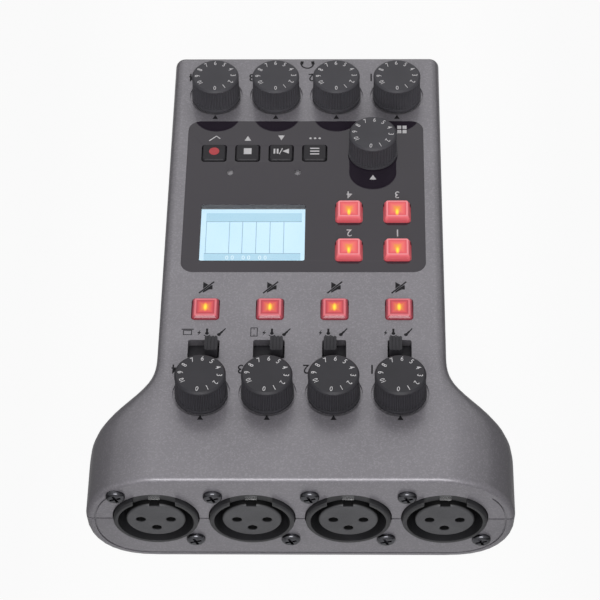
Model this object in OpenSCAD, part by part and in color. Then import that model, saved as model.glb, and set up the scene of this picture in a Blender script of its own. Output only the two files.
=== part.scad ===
/* [Case] */
// Width across the flared socket end
head_w = 111.4; // [108:0.1:126]
// Width of the slim control section
body_w = 76.5; // [74:0.5:90]
// Length from the front of the sockets to the far end
total_len = 156.5; // [150:0.1:180]
// Height of the panel above the table at the socket face
panel_front_h = 41.15; // [39.5:0.01:48]
// Height of the panel above the table at the far end
panel_rear_h = 22.39; // [21.1:0.01:30]
// Wall of both case halves
wall = 2.4; // [2:0.1:3]
// Wall that carries the microphone sockets
face_wall = 2.5; // [2:0.1:3.5]
// Distance from the socket face to the start of the flare
flare_from = 43.6; // [40:0.1:47]
// Length over which the flare runs out
flare_len = 28.5; // [24:0.1:32]
// Steepness of the flare
flare_power = 2.77; // [2:0.01:3.2]
// Radius of the rim around the socket face
rim_r = 1.6; // [1:0.1:2.1]
// Radius along the panel edges of the control section
edge_r = 2.8; // [2:0.1:4]
// Width of the rounded shoulder at the socket end
shoulder_w = 18.6; // [16:0.1:22]
// Drop of the rounded shoulder at the socket end
shoulder_h = 18; // [14:0.1:18.5]
// How far the sides of the socket end lean in from the parting line to the panel
side_lean = 1.25; // [0.5:0.05:2]
// Height of the parting line at the socket face
part_front_h = 22.1; // [20:0.1:22.2]
// Height of the parting line at the far end
part_rear_h = 9.5; // [8:0.1:12]
// Width of the rounded lower corner on the control section
low_w_body = 9; // [6:0.5:12]
// Width of the rounded lower corner at the socket end
low_w_head = 18; // [12:0.5:22]
// Fullness of the lower corner
low_power = 2.45; // [2:0.05:4]
// Width of the shadow groove between the halves and round the face
groove_w = 0.5; // [0.3:0.05:0.8]
// Distance of the face groove from the outline
groove_in = 2.2; // [1.8:0.1:3]
// Height at which the face groove runs out
groove_top = 32.2; // [26:0.1:34]

/* [Fits] */
// Clearance round parts that move
gap = 0.3; // [0.25:0.05:0.5]
// Clearance at flat seats
seat = 0.05; // [0.02:0.01:0.1]
// Clearance of glued and pressed pieces
fit = 0.03; // [0.02:0.01:0.06]
// Running clearance round shafts and hinge pins
running = 0.08; // [0.05:0.01:0.1]

/* [Microphone sockets] */
// Distance between neighbouring sockets
socket_pitch = 24.93; // [24.4:0.01:26]
// Height of the socket axes
socket_z = 22.5; // [20:0.1:24]
// Outside diameter of a socket shell
socket_d = 22; // [21:0.1:23]
// How far the shells stand out of the face
socket_proud = 1.5; // [1:0.1:2]
// Depth of a shell behind the face
socket_depth = 16.7; // [14:0.1:18]
// Diameter of the ring gap that takes the plug
socket_bore_d = 19.6; // [18:0.1:20.2]
// Depth of the ring gap behind the face
socket_bore_depth = 12; // [9:0.5:12.5]
// Diameter of the insert
insert_d = 15.5; // [14:0.1:16]
// How far the insert front lies behind the shell front
insert_back = 0.6; // [0.2:0.05:2]
// Diameter of the contact holes
contact_d = 2.55; // [2:0.05:3]
// Distance of the contacts from the socket axis
contact_r = 3.9; // [3:0.1:4.5]
// How far the contacts lie behind the insert front
contact_back = 1.2; // [0.5:0.1:2]
// Width of the latch block at the top of a shell
latch_w = 10.9; // [8:0.1:12]
// How far the latch block lies behind the shell front
latch_back = 1.7; // [1:0.1:2.5]
// Width of the retention spring
spring_w = 3; // [2:0.1:4]
// Sheet thickness of the retention spring
spring_t = 0.5; // [0.4:0.05:0.6]
// How far the retention spring stands out of the latch block
spring_out = 0.6; // [0.3:0.1:1]
// Sideways distance of the socket screws from the axis
screw_dx = 9.85; // [9.5:0.05:10.1]
// Height distance of the socket screws from the axis
screw_dz = 10.8; // [10.4:0.05:11.2]
// Head diameter of the socket screws
screw_head_d = 5; // [4:0.1:5.4]
// Height of the socket screw heads above the face
screw_proud = 1.2; // [1:0.1:1.6]
// Shank diameter of the socket screws
screw_d = 2.6; // [2:0.1:3]

/* [Knobs] */
// Distance of the outer control columns from the case sides
col_side = 12.33; // [12:0.01:13]
// Diameter of a knob top
knob_top_d = 13.4; // [11:0.1:13.6]
// Diameter of a knob skirt
knob_base_d = 13.9; // [13:0.1:14.6]
// Height of a knob above the panel
knob_h = 8.2; // [7:0.1:11]
// Grip ribs on a knob
knob_ribs = 44; // [24:2:60]
// Depth of the grip ribs
rib_depth = 0.32; // [0.1:0.02:0.5]
// Diameter of the shallow well under a knob
well_d = 15.2; // [15:0.1:16]
// Depth of the shallow well
well_depth = 0.6; // [0.3:0.1:1]
// Diameter of a potentiometer shaft
shaft_d = 6; // [4:0.1:6.4]
// Side of a potentiometer body
pot_w = 9.5; // [8.5:0.1:10.5]
// Height of a potentiometer body
pot_h = 5.5; // [5:0.1:5.6]
// Distance from the socket face to the gain knobs
gain_from_face = 28.2; // [27.3:0.1:29.8]
// Distance from the far end to the headphone knobs
phones_from_end = 16.7; // [15:0.1:18]

/* [Switches and buttons] */
// Distance from the gain knobs to the input switches
switch_from_gain = 15.2; // [14.6:0.1:16]
// Distance from the gain knobs to the mute buttons
mute_from_gain = 29.1; // [27.5:0.1:30]
// Length of a switch slot along the case
slot_len = 6.4; // [5.6:0.1:6.6]
// Width of a switch nub
nub_w = 3.36; // [3:0.02:4]
// Length of a switch nub
nub_len = 4.8; // [4:0.1:5]
// Height of a switch nub above the panel
nub_h = 2.6; // [1.5:0.1:3]
// Travel of a two-position input switch
two_travel = 2.1; // [1.8:0.1:2.4]
// Travel of a three-position input switch
three_travel = 4.1; // [3.6:0.1:4.4]
// Side of a lit button at its base
lit_w = 7; // [6.5:0.1:7.6]
// Side of a lit button at its top
lit_top_w = 6; // [5.2:0.05:6.3]
// Height of a pad button above the gloss panel
pad_h = 1.8; // [1.2:0.1:2.5]
// Height of a mute button above the case
mute_h = 1; // [0.6:0.1:2]
// Width of a transport button
key_w = 6.5; // [5.5:0.1:7]
// Length of a transport button
key_len = 6; // [5:0.1:6.5]
// Height of a transport button above the gloss panel
key_h = 0.5; // [0.3:0.1:1]
// Free height between a button and its switch
button_free = 0.8; // [0.8:0.05:0.95]

/* [Display panel] */
// Thickness of the gloss panel
panel_t = 1.2; // [0.8:0.1:1.6]
// Case left at each side of the gloss panel
panel_side = 4.95; // [4.4:0.05:6]
// Distance from the gain knobs to the near edge of the panel
panel_from_gain = 42.4; // [41:0.1:43]
// Distance from the headphone knobs to the far edge of the panel
panel_from_phones = 10.2; // [9:0.1:11]
// Corner radius of the gloss panel
panel_r = 3.5; // [2:0.1:5]
// Ledge that carries the gloss panel
ledge = 1.6; // [1.2:0.1:2]
// Width of the display window
window_w = 28.85; // [26:0.05:29.5]
// Length of the display window
window_len = 20.95; // [18:0.05:21.5]
// Distance of the window from the panel's left edge
window_side = 4.8; // [4.4:0.1:5.5]
// Distance of the window from the panel's near edge
window_near = 4.1; // [3.8:0.1:5]
// Depth of the display below the panel surface
display_depth = 2.4; // [1.6:0.1:3]
// Sideways distance between the pad buttons
pad_pitch_x = 13.25; // [12:0.05:14]
// Lengthways distance between the pad buttons
pad_pitch_y = 14.2; // [12:0.1:15]
// Distance of the pad buttons from the panel's right edge
pad_side = 7.65; // [7:0.05:8]
// Distance of the pad buttons from the panel's near edge
pad_near = 7.7; // [7:0.1:8.5]
// Distance between transport buttons
key_pitch = 9.45; // [9.2:0.05:9.7]
// Distance of the transport buttons from the panel's left edge
key_side = 7.6; // [7:0.05:8]
// Distance of the transport buttons from the panel's far edge
key_far = 12.7; // [12:0.1:14]
// Diameter of a status light
light_d = 1.9; // [1.4:0.1:2.4]
// Distance of the status lights from the transport buttons
light_from_keys = 7.5; // [6.5:0.1:8]
// Distance of the status lights from the display window
light_from_window = 12.25; // [11:0.05:14]

/* [Inside] */
// Depth of the control board below the panel surface
board_depth = 8.4; // [8.4:0.1:8.8]
// Thickness of the circuit boards
board_t = 1.6; // [1.2:0.1:1.7]
// Diameter of a battery cell
cell_d = 14.3; // [13.5:0.1:14.5]
// Length of a battery cell with its cap
cell_len = 50.5; // [48:0.1:51]
// Position of the battery bay along the case
bay_y = 1; // [-2:0.5:2]
// Wall of the battery bay
bay_wall = 1.4; // [1:0.1:1.6]
// Thickness of the battery door
door_t = 1.6; // [1.2:0.1:1.8]

/* [Ports] */
// Diameter of the jack bores
jack_d = 3.6; // [3.5:0.05:3.8]
// Depth of the jack bores
jack_depth = 12; // [10:0.5:12.5]
// Diameter of the jack collars
collar_d = 6; // [5:0.1:6.4]
// Width of a charging port
port_w = 8.9; // [8.4:0.1:9.4]
// Height of a charging port
port_h = 3.2; // [3:0.1:3.4]
// Width of the card slot
card_w = 12; // [11:0.1:13]
// Depth of a charging port behind the side wall
port_len = 7.5; // [7:0.1:9]
// Sheet thickness of a charging port
port_skin = 0.3; // [0.25:0.05:0.4]
// How far the ports lie back from the side
port_set = 0.6; // [0.4:0.1:1]
// Distance of the first charging port from the far end
port_near = 50.5; // [49:0.1:54]
// Distance of the second charging port from the far end
port_far = 37; // [36:0.1:39]
// Distance of the card slot from the far end
card_from_end = 24.5; // [23:0.1:25]
// Distance of the phone jack from the far end
phone_from_end = 48.5; // [46:0.1:52]
// Distance of the power slider from the far end
power_from_end = 33; // [30:0.1:36]
// How far the power slider lies back from the side
power_set = 0.1; // [0.1:0.1:0.6]
// Travel of the power slider
power_travel = 4; // [3:0.1:5]

/* [Feet] */
// Height of the case above the table
foot_h = 1.6; // [1:0.1:1.8]
// Diameter of a rubber foot
foot_d = 9; // [7:0.1:10]

/* [Hidden] */
$fn = 48;
eps = 0.01;

// Main stations along the case, the socket face toward -Y
y_end = total_len / 2;
front_proud = max(socket_proud, screw_proud);
y_face = -total_len / 2 + front_proud;
panel_tilt = atan((panel_front_h - panel_rear_h) / (y_end - y_face));
flare_y = y_face + flare_from;

// The lengthwise distances add up to the drawn lengths; the controls share any difference
drawn_panel = window_near + window_len + light_from_window + light_from_keys + key_far;
drawn_len = front_proud + gain_from_face + panel_from_gain + drawn_panel
    + panel_from_phones + phones_from_end;
stretch = total_len / drawn_len;
gain_y = y_face + gain_from_face;
phones_y = y_end - phones_from_end;
switch_y = gain_y + switch_from_gain * stretch;
mute_y = gain_y + mute_from_gain * stretch;
col_pitch = (body_w - 2 * col_side) / 3;
cols = [for (k = [0:3]) (k - 1.5) * col_pitch];
sockets = [for (k = [0:3]) (k - 1.5) * socket_pitch];

// Gloss panel and what stands in it
panel_w = body_w - 2 * panel_side;
panel_y0 = gain_y + panel_from_gain * stretch;
panel_y1 = phones_y - panel_from_phones * stretch;
panel_len = (panel_y1 - panel_y0) / cos(panel_tilt);
panel_y = (panel_y0 + panel_y1) / 2;
spread = (panel_y1 - panel_y0) / drawn_panel;
window_l = window_len * spread;
window_x = -panel_w / 2 + window_side + window_w / 2;
window_y = panel_y0 + window_near * spread + window_l / 2;
pads = [for (j = [0, 1], i = [1, 0])
    [panel_w / 2 - pad_side - i * pad_pitch_x, panel_y0 + (pad_near + j * pad_pitch_y) * spread]];
key_y = panel_y1 - key_far * spread;
keys = [for (k = [0:3]) [-panel_w / 2 + key_side + k * key_pitch, key_y]];
pad_knob_x = panel_w / 2 - pad_side - pad_pitch_x / 2;
lights = [for (k = [0, 2]) [(keys[k].x + keys[k + 1].x) / 2, key_y - light_from_keys * spread]];

// Heights in the panel's own frame, down from its surface
board_top = -board_depth;
board_w = 3 * col_pitch + pot_w + 1.6;
board_gap = 0.7;
board_end = 3.6;
board_clear = 0.5;
board_y0 = y_face + socket_depth + seat + board_t + board_gap + (board_depth + board_t) * sin(panel_tilt);
board_y1 = y_end - wall - board_end;
tact_h = 3.1;
plunger_h = 0.7;
tact_w = 4.5;
tact_shift = 1.5;
post_end = board_top + tact_h + plunger_h + button_free;
plunger_d = 2.2;
led = [2, 1.2, 0.8];
led_back = 3.2;
pot_floor = 0.8;
pot_ear = [0.8, 4, 2];
shaft_room = gap;
shaft_air = 0.7;
shaft_slot_w = 1;
shaft_slot_d = 1.2;
knob_skirt = 1;
knob_step = 0.25;
knob_cap = 0.9;
knob_bevel = 0.5;
knob_roof = 2.1;
shaft_end = knob_h - knob_roof;
standoff_d = 3.6;

// Buttons and display frame
button_r = 0.7;
button_skirt = 0.4;
button_post_d = 2.6;
flange_t = 0.8;
flange_lap = 0.7;
hole_r = 1;
key_hole_r = 0.9;
key_draw = 0.5;
window_r = 0.6;
lcd_r = 0.5;
lcd_lap = 0.6;
lcd_frame = 1.5;
lcd_frame_h = 2.2;

// Slide switches: three positions on the first two columns, two on the others
travel = [three_travel, three_travel, two_travel, two_travel];
nub_shift = [1, 1, -1, -1];
slot_w = [for (t = travel) t + nub_w + 2 * gap + 0.3];
nub_x = [for (k = [0:3]) cols[k] + nub_shift[k] * travel[k] / 2];
slot_r = 0.6;
frame_len = 6.5;
frame_h = 4;
frame_over = 2.5;
cover_t = 0.8;
cover_lap = 0.6;
nub_r = 0.5;
blade_len = 2;
blade_in = 1;
blade_foot = 1.4;
grip_pitch = 0.9;
grip_w = 0.3;
grip_d = 0.25;
cover_half = [for (t = travel) min(t + nub_w / 2 + cover_lap, (col_pitch - t - gap) / 2)];

// Case fasteners and feet
post_side = 2.65;
post_out = 3.75;
post_from_end = 8.5;
post_from_face = 24.5;
post_rear = [body_w / 2 - wall - post_side, y_end - post_from_end];
post_head = [body_w / 2 + post_out, y_face + post_from_face];
posts = [[-post_head.x, post_head.y], [post_head.x, post_head.y],
    [-post_rear.x, post_rear.y], [post_rear.x, post_rear.y]];
post_d = 6.2;
post_down = 0.4;
post_skin = 1;
case_screw_d = 2.5;
case_head_d = 4.2;
case_head_h = 2;
case_sink = 3.2;
case_recess = [2.8, 0.7, 0.95];
screw_reach = 4;
foot_side = 8.25;
foot_from_face = 15.3;
foot_from_end = 22;
foot_edge = 0.8;
feet = [for (sx = [-1, 1]) each [[sx * (body_w / 2 - foot_side), y_face + foot_from_face],
    [sx * (body_w / 2 - low_w_body - foot_d / 2 - foot_edge), y_end - foot_from_end]]];
foot_sink = 0.55;

// Screw lugs, latch and edges of the socket shells
lug_r = screw_d / 2 + 0.7;
lug_t = 2.4;
socket_edge = 0.4;
latch_air = 0.95;
spring_from_insert = 1.6;
spring_root = 1;
insert_key_w = 2.6;
insert_key_in = 0.9;
contact_wall = 0.42;
contact_base = 1;
screw_edge = 0.8;
screw_reach_in = 2.6;
recess_w = 0.7;
recess_d = 0.8;
recess_share = 0.62;

// Board behind the sockets
input_over = 7;
input_h = 13;
input_r = 1;
tail_d = 1.2;

// Battery bay and door
bay_room = 0.5;
bay_end = 3.7;
bay_side = 0.6;
bay_over = 0.3;
cell_over = 0.35;
hinge_out = 2;
bay_x = cell_len / 2 + bay_end;
bay_dy = cell_d + bay_room + bay_side;
cell_z = foot_h + door_t + cell_over + cell_d / 2;
bay_top = cell_z + cell_d / 2 + bay_over;
hinge_y = bay_y - bay_dy - hinge_out;
hinge_z = foot_h + hinge_out;
cell_cap = 1.3;
cell_cap_d = 5.5;
plate_w = 11;
plate_t = 0.5;
dome_d = 8;
dome_tip_d = 4;
hinge_r = 1.5;
hinge_lead = 1.9;
hinge_room = norm([hinge_lead, hinge_z - foot_h]) + gap;
hinge_pin_d = 1.6;
hinge_pin_len = 1.6;
door_y1 = bay_y + bay_dy - gap;
ridge = [18, 0.7, 0.4];
ridge_pitch = 1.6;
ridge_from_edge = 5;
notch_r = 4;
notch_w = 14;
notch_down = 3.2;
notch_out = 2;

// Ports
jack_z = part_rear_h;
jack_w = 6.4;
jack_h = 5;
jack_back = 1;
jack_body = jack_depth + jack_back;
side_x = body_w / 2;
port_y = [y_end - port_near, y_end - port_far];
port_back = 1;
tongue_w = 6.5;
tongue_t = 0.7;
card_y = y_end - card_from_end;
card_len = 12.3;
card_t = 1.9;
card_skin = 0.4;
card_cheek = 0.9;
phone_y = y_end - phone_from_end;
power_y = y_end - power_from_end;
power_w = 3;
power_hh = 2.4;
power_drop = 2;
power_flange_t = 0.8;
power_flange = [2.4, 1.2];
power_body = [9, 4, 5];
power_air = 1.2;
under = board_top - board_t;

// Form of the case
function mix(a, b, t) = a + (b - a) * t;
function ease(t) = let (u = min(max(t, 0), 1), p = flare_power) pow(u, p) / (pow(u, p) + pow(1 - u, p));
function flare(y) = ease((flare_y - y) / flare_len);
function half_w(y) = mix(body_w, head_w, flare(y)) / 2;
function panel_z(y) = panel_front_h - tan(panel_tilt) * (y - y_face);
function part_z(y) = mix(part_front_h, part_rear_h, (y - y_face) / (y_end - y_face));

// Cross-section of the upper half at y, drawn in by inset, with n steps round each shoulder
function upper_ring(y, inset, n, drop) =
    let (w = half_w(y) - inset, top = panel_z(y) - inset,
        a = max(mix(edge_r, shoulder_w, flare(y)) - inset, 0.2),
        b = max(mix(edge_r, shoulder_h, flare(y)) - inset, 0.2),
        lean = side_lean * flare(y) / (panel_z(y) - part_z(y)),
        side = concat([[w, part_z(y) - drop]], [for (k = [0:n]) let (t = 90 * k / n, z = top - b + b * sin(t))
            [w - a * (1 - cos(t)) - lean * (z - part_z(y)), z]]))
    concat([for (p = side) [-p.x, y, p.y]], [for (k = [n + 1:-1:0]) [side[k].x, y, side[k].y]]);

// Cross-section of the lower half, with full lower corners
function lower_ring(y, inset, n, rise) =
    let (w = half_w(y) - inset, z0 = foot_h + inset,
        c = max(mix(low_w_body, low_w_head, flare(y)) - inset, 0.2),
        h = part_z(y) - 1 - z0, e = 2 / low_power)
    concat([[-w, y, part_z(y) + rise], [w, y, part_z(y) + rise]],
        [for (k = [0:n]) let (t = 90 * k / n)
            [w - c + c * pow(cos(t), e), y, z0 + h - h * pow(sin(t), e)]],
        [for (k = [n:-1:0]) let (t = 90 * k / n)
            [-(w - c + c * pow(cos(t), e)), y, z0 + h - h * pow(sin(t), e)]]);

// Stations of the outside, [y, inset], with rounded ends
function outer_stations(n, m) = concat(
    [for (k = [0:n]) let (t = 90 * k / n) [y_face + rim_r * (1 - cos(t)), rim_r * (1 - sin(t))]],
    [for (k = [0:m]) [flare_y - flare_len * (1 - k / m), 0]],
    [for (k = [0:n]) let (t = 90 * k / n)
        [y_end - (edge_r - 0.2) * (1 - sin(t)), (edge_r - 0.2) * (1 - cos(t))]]);

// Stations of the hollow, a wall inside the outside
function inner_stations(m, inset) = concat(
    [[y_face + face_wall, inset]],
    [for (k = [0:m]) [flare_y - flare_len * (1 - k / m), inset]],
    [[y_end - inset, inset]]);

module loft(rings) {
    n = len(rings[0]);
    m = len(rings);
    polyhedron(points = [for (r = rings) each r],
        faces = concat([[for (i = [0:n - 1]) i]],
            [[for (i = [n - 1:-1:0]) (m - 1) * n + i]],
            [for (j = [0:m - 2], i = [0:n - 1])
                let (a = j * n + i, b = j * n + (i + 1) % n) each [[a, a + n, b + n], [a, b + n, b]]]));
}

// Places children on the panel surface, with +Z square to it
module on_panel(x, y, h = 0)
    translate([x, y, panel_z(y)]) rotate([-panel_tilt, 0, 0]) translate([0, 0, h]) children();

// Places children on a socket axis, with +Z out of the face and +Y up
module on_face(x)
    translate([x, y_face, socket_z]) rotate([90, 0, 0]) children();

// Places children at a side wall under the board, with +Z out of the case and +X along it
module at_side(side, y, h)
    on_panel(side * side_x, y, h) rotate([0, side * 90, 0]) rotate([0, 0, 90]) children();

module rrect(w, l, r) {
    square([w - 2 * r, l], center = true);
    square([w, l - 2 * r], center = true);
    for (sx = [-1, 1], sy = [-1, 1])
        translate([sx * (w / 2 - r), sy * (l / 2 - r)]) circle(r);
}

module slab(w, l, r, z0, z1)
    translate([0, 0, z0]) linear_extrude(z1 - z0) rrect(w, l, r);

// Openings that cross the parting line
module socket_cuts()
    for (x = sockets) on_face(x) {
        translate([0, 0, -socket_depth - gap]) cylinder(d = socket_d + 2 * gap, h = socket_depth + gap + 2);
        for (s = [-1, 1]) translate([s * screw_dx, -s * screw_dz, -face_wall - 1])
            cylinder(d = screw_d + 2 * gap, h = face_wall + 2);
        // Room for the screw lugs behind the face
        for (s = [-1, 1]) translate([s * screw_dx, -s * screw_dz, -face_wall - lug_t - 1])
            cylinder(r = lug_r + gap, h = lug_t + 1);
    }

module port_cuts() {
    for (x = cols) translate([x, y_end - wall - 1, jack_z]) rotate([-90, 0, 0])
        cylinder(d = collar_d + 2 * gap, h = wall + 2);
    for (y = port_y) at_side(-1, y, under - port_h / 2) translate([0, 0, -wall - 1])
        linear_extrude(wall + 2) rrect(port_w + 2 * gap, port_h + 2 * gap, port_h / 2);
    at_side(-1, card_y, under - card_t / 2) translate([0, 0, -wall - 1])
        linear_extrude(wall + 2) square([card_w + 2 * gap, card_t + 2 * gap], center = true);
    at_side(1, phone_y, under - jack_h / 2) translate([0, 0, -wall - 1])
        cylinder(d = collar_d + 2 * gap, h = wall + 2);
    at_side(1, power_y, under - power_drop) translate([0, 0, -wall - 1])
        linear_extrude(wall + 2)
            square([power_w + power_travel + 2 * gap, power_hh + 2 * gap], center = true);
}

// Shadow groove just inside the outline of the face, open at the top
module face_groove()
    let (y = y_face + rim_r)
    translate([0, y_face + groove_w, 0]) rotate([90, 0, 0]) linear_extrude(groove_w + 1) difference() {
        intersection() {
            face_outline(y, groove_in);
            translate([-head_w, 0]) square([2 * head_w, groove_top]);
        }
        face_outline(y, groove_in + groove_w);
    }

module face_outline(y, inset) {
    polygon([for (p = lower_ring(y, inset, 14, 0.5)) [p.x, p.z]]);
    polygon([for (p = upper_ring(y, inset, 14, 0.5)) [p.x, p.z]]);
}

// The outside drawn in by d at its sides and ends
function drawn_in(stations, d) = [for (s = stations)
    [mix(y_face + d, y_end - d, (s.x - y_face) / (y_end - y_face)), s.y + d]];

module upper_case() {
    color("#87858a") difference() {
        union() {
            difference() {
                loft([for (s = outer_stations(5, 20)) upper_ring(s.x, s.y, 9, 0)]);
                loft([for (s = inner_stations(10, wall)) upper_ring(s.x, s.y, 5, 1)]);
            }
            // Screw posts, kept inside the skin
            intersection() {
                for (p = posts) translate([p.x, p.y, part_z(p.y) + post_down])
                    cylinder(d = post_d, h = panel_front_h);
                loft([for (s = inner_stations(10, wall / 2)) upper_ring(s.x, s.y, 5, 1)]);
            }
            // Stand-offs of the control board
            for (y = [gain_y, phones_y], k = [-1:1]) on_panel(k * col_pitch, y)
                translate([0, 0, board_top + seat]) cylinder(d = standoff_d, h = board_depth - wall / 2);
        }
        for (p = posts) translate([p.x, p.y, part_z(p.y) - post_down - 1])
            cylinder(d = case_screw_d + 2 * fit, h = 1 + screw_reach + 1);
        // Seat and opening of the gloss panel
        on_panel(0, panel_y) {
            slab(panel_w + 2 * fit, panel_len + 2 * fit, panel_r + fit, -panel_t - seat, 1);
            slab(panel_w - 2 * ledge, panel_len - 2 * ledge, panel_r - 1, -wall - 1, 0);
        }
        // Knob wells and shaft holes
        for (x = cols, y = [gain_y, phones_y]) on_panel(x, y) {
            translate([0, 0, -well_depth]) cylinder(d = well_d, h = well_depth + 1);
            translate([0, 0, -wall - 1]) cylinder(d = shaft_d + 2 * shaft_air, h = wall + 2);
        }
        // Switch slots and mute button holes
        for (k = [0:3]) {
            on_panel(cols[k], switch_y) slab(slot_w[k], slot_len, slot_r, -wall - 1, 1);
            on_panel(cols[k], mute_y) slab(lit_w + 2 * gap, lit_w + 2 * gap, hole_r, -wall - 1, 1);
        }
        face_groove();
        socket_cuts();
        port_cuts();
    }
}

module lower_case() {
    color("#7d7c80") difference() {
        union() {
            difference() {
                union() {
                    loft([for (s = outer_stations(5, 20)) lower_ring(s.x, s.y, 9, -groove_w)]);
                    // Tongue that leaves the shadow groove under the upper half
                    loft([for (s = drawn_in(outer_stations(5, 20), groove_w)) lower_ring(s.x, s.y, 9, 0)]);
                }
                loft([for (s = inner_stations(10, wall)) lower_ring(s.x, s.y, 5, 1)]);
            }
            // Battery bay, its hinge housing and bearings
            translate([-bay_x - bay_wall, bay_y - bay_dy - bay_wall, foot_h + wall / 2])
                cube([2 * (bay_x + bay_wall), 2 * (bay_dy + bay_wall),
                    bay_top + bay_wall - foot_h - wall / 2]);
            translate([-bay_x - bay_wall, hinge_y - hinge_room - bay_wall, foot_h + wall / 2])
                cube([2 * (bay_x + bay_wall), hinge_room + bay_wall + 2,
                    hinge_z + hinge_room + 1 - foot_h - wall / 2]);
            // Posts for the case screws
            for (p = posts) translate([p.x, p.y, foot_h + wall / 2])
                cylinder(d = case_head_d + 2 * (gap + post_skin),
                    h = part_z(p.y) - post_down - seat - foot_h - wall / 2);
            // Seats of the headphone jacks
            for (x = cols) translate([x - jack_w / 2, y_end - wall - gap - jack_body, foot_h + wall / 2])
                cube([jack_w, jack_body, jack_z - jack_h / 2 - seat - foot_h - wall / 2]);
        }
        // Bay, door opening and hinge pocket
        translate([-bay_x, bay_y - bay_dy, foot_h - 1]) cube([2 * bay_x, 2 * bay_dy, bay_top - foot_h + 1]);
        translate([-bay_x, hinge_y - hinge_lead - gap, foot_h - 1])
            cube([2 * bay_x, hinge_lead + gap + 2 + eps, hinge_z - foot_h + 1]);
        translate([-bay_x, hinge_y, hinge_z]) rotate([0, 90, 0]) cylinder(r = hinge_room, h = 2 * bay_x);
        translate([-bay_x - hinge_pin_len, hinge_y, hinge_z]) rotate([0, 90, 0])
            cylinder(d = hinge_pin_d + 2 * running, h = 2 * (bay_x + hinge_pin_len));
        // Finger notch at the free edge of the door
        translate([0, door_y1 + notch_out, foot_h - notch_down]) rotate([0, 90, 0])
            cylinder(r = notch_r, h = notch_w, center = true);
        // Screw ways from below
        for (p = posts) translate([p.x, p.y, foot_h - 1]) {
            cylinder(d = case_head_d + 2 * gap, h = 1 + case_sink + case_head_h);
            cylinder(d = case_screw_d + 2 * gap, h = 60);
        }
        for (p = feet) translate([p.x, p.y, foot_h - 1]) cylinder(d = foot_d + 2 * fit, h = 1 + foot_sink);
        face_groove();
        socket_cuts();
        port_cuts();
    }
}

module display_panel() {
    color("#141416") difference() {
        on_panel(0, panel_y) slab(panel_w, panel_len, panel_r, -panel_t, 0);
        on_panel(window_x, window_y) slab(window_w, window_l, window_r, -panel_t - 1, 1);
        for (p = pads) on_panel(p.x, p.y) slab(lit_w + 2 * gap, lit_w + 2 * gap, hole_r, -panel_t - 1, 1);
        for (p = keys) on_panel(p.x, p.y)
            slab(key_w + 2 * gap, key_len + 2 * gap, key_hole_r, -panel_t - 1, 1);
        for (p = lights) on_panel(p.x, p.y, -panel_t - 1)
            cylinder(d = light_d + 2 * fit, h = panel_t + 2, $fn = 24);
        on_panel(pad_knob_x, key_y, -panel_t - 1) cylinder(d = shaft_d + 2 * shaft_air, h = panel_t + 2);
    }
}

module display_window()
    color("#9fb4c0", 0.4) on_panel(window_x, window_y)
        slab(window_w - 2 * fit, window_l - 2 * fit, window_r - fit, -panel_t, 0);

// Display glass on its backlight frame
module lcd_module()
    color("#cfeeff") on_panel(window_x, window_y) {
        slab(window_w + 2 * lcd_lap, window_l + 2 * lcd_lap, lcd_r, board_top + lcd_frame_h, -display_depth);
        slab(window_w + 2 * lcd_frame, window_l + 2 * lcd_frame, lcd_r,
            board_top + seat, board_top + lcd_frame_h);
    }

module control_board()
    color("#2f5d3a") difference() {
        on_panel(0, (board_y0 + board_y1) / 2)
            slab(board_w, (board_y1 - board_y0) / cos(panel_tilt), 1, board_top - board_t, board_top);
        for (p = posts) translate([p.x, p.y, 0])
            cylinder(d = case_head_d + 2 * (gap + post_skin + board_clear), h = panel_front_h);
    }

module input_board()
    color("#2f5d3a") translate([0, y_face + socket_depth + seat, socket_z]) rotate([-90, 0, 0])
        difference() {
            linear_extrude(board_t) rrect(3 * socket_pitch + 2 * input_over, input_h, input_r);
            for (x = sockets, p = contact_points()) translate([x + p.x, -p.y, -1])
                cylinder(d = tail_d, h = board_t + 2, $fn = 16);
        }

// Fronts of the insert and of the latch block, out of the face
insert_top = socket_proud - insert_back;
latch_top = socket_proud - latch_back;

function contact_points() = [[-contact_r, 0.2], [contact_r, 0.2], [0, -contact_r]];

// Shell with its ring gap, screw lugs and latch block
module xlr_shell(x)
    on_face(x) difference() {
        union() {
            rotate_extrude() polygon([[0, -socket_depth], [socket_d / 2, -socket_depth],
                [socket_d / 2, socket_proud - socket_edge], [socket_d / 2 - socket_edge, socket_proud],
                [0, socket_proud]]);
            for (s = [-1, 1]) intersection() {
                translate([0, 0, -face_wall - seat - lug_t]) linear_extrude(lug_t) {
                    translate([s * screw_dx, -s * screw_dz]) circle(r = lug_r);
                    rotate(atan2(-s * screw_dz, s * screw_dx)) translate([0, -lug_r])
                        square([norm([screw_dx, screw_dz]), 2 * lug_r]);
                }
            }
        }
        difference() {
            translate([0, 0, -socket_bore_depth])
                cylinder(d = socket_bore_d, h = socket_bore_depth + socket_proud + 1);
            translate([0, 0, -socket_bore_depth]) linear_extrude(latch_top + socket_bore_depth) difference() {
                translate([-latch_w / 2, 0]) square([latch_w, socket_d / 2]);
                circle(r = insert_d / 2 + latch_air);
            }
        }
        // Notched rim over the latch block
        translate([-latch_w / 2, insert_d / 2, latch_top]) cube([latch_w, socket_d, latch_back + 1]);
        // Slot of the retention spring
        translate([-spring_w / 2 - fit, insert_d / 2 + spring_from_insert, -socket_bore_depth + spring_root])
            cube([spring_w + 2 * fit, spring_t, socket_bore_depth + socket_proud]);
        for (p = contact_points()) translate([p.x, p.y, -socket_depth - 1])
            cylinder(d = contact_d, h = socket_depth, $fn = 24);
        for (s = [-1, 1]) translate([s * screw_dx, -s * screw_dz, -face_wall - lug_t - 1])
            cylinder(d = screw_d + 2 * fit, h = face_wall + lug_t + 1, $fn = 24);
    }

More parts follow.
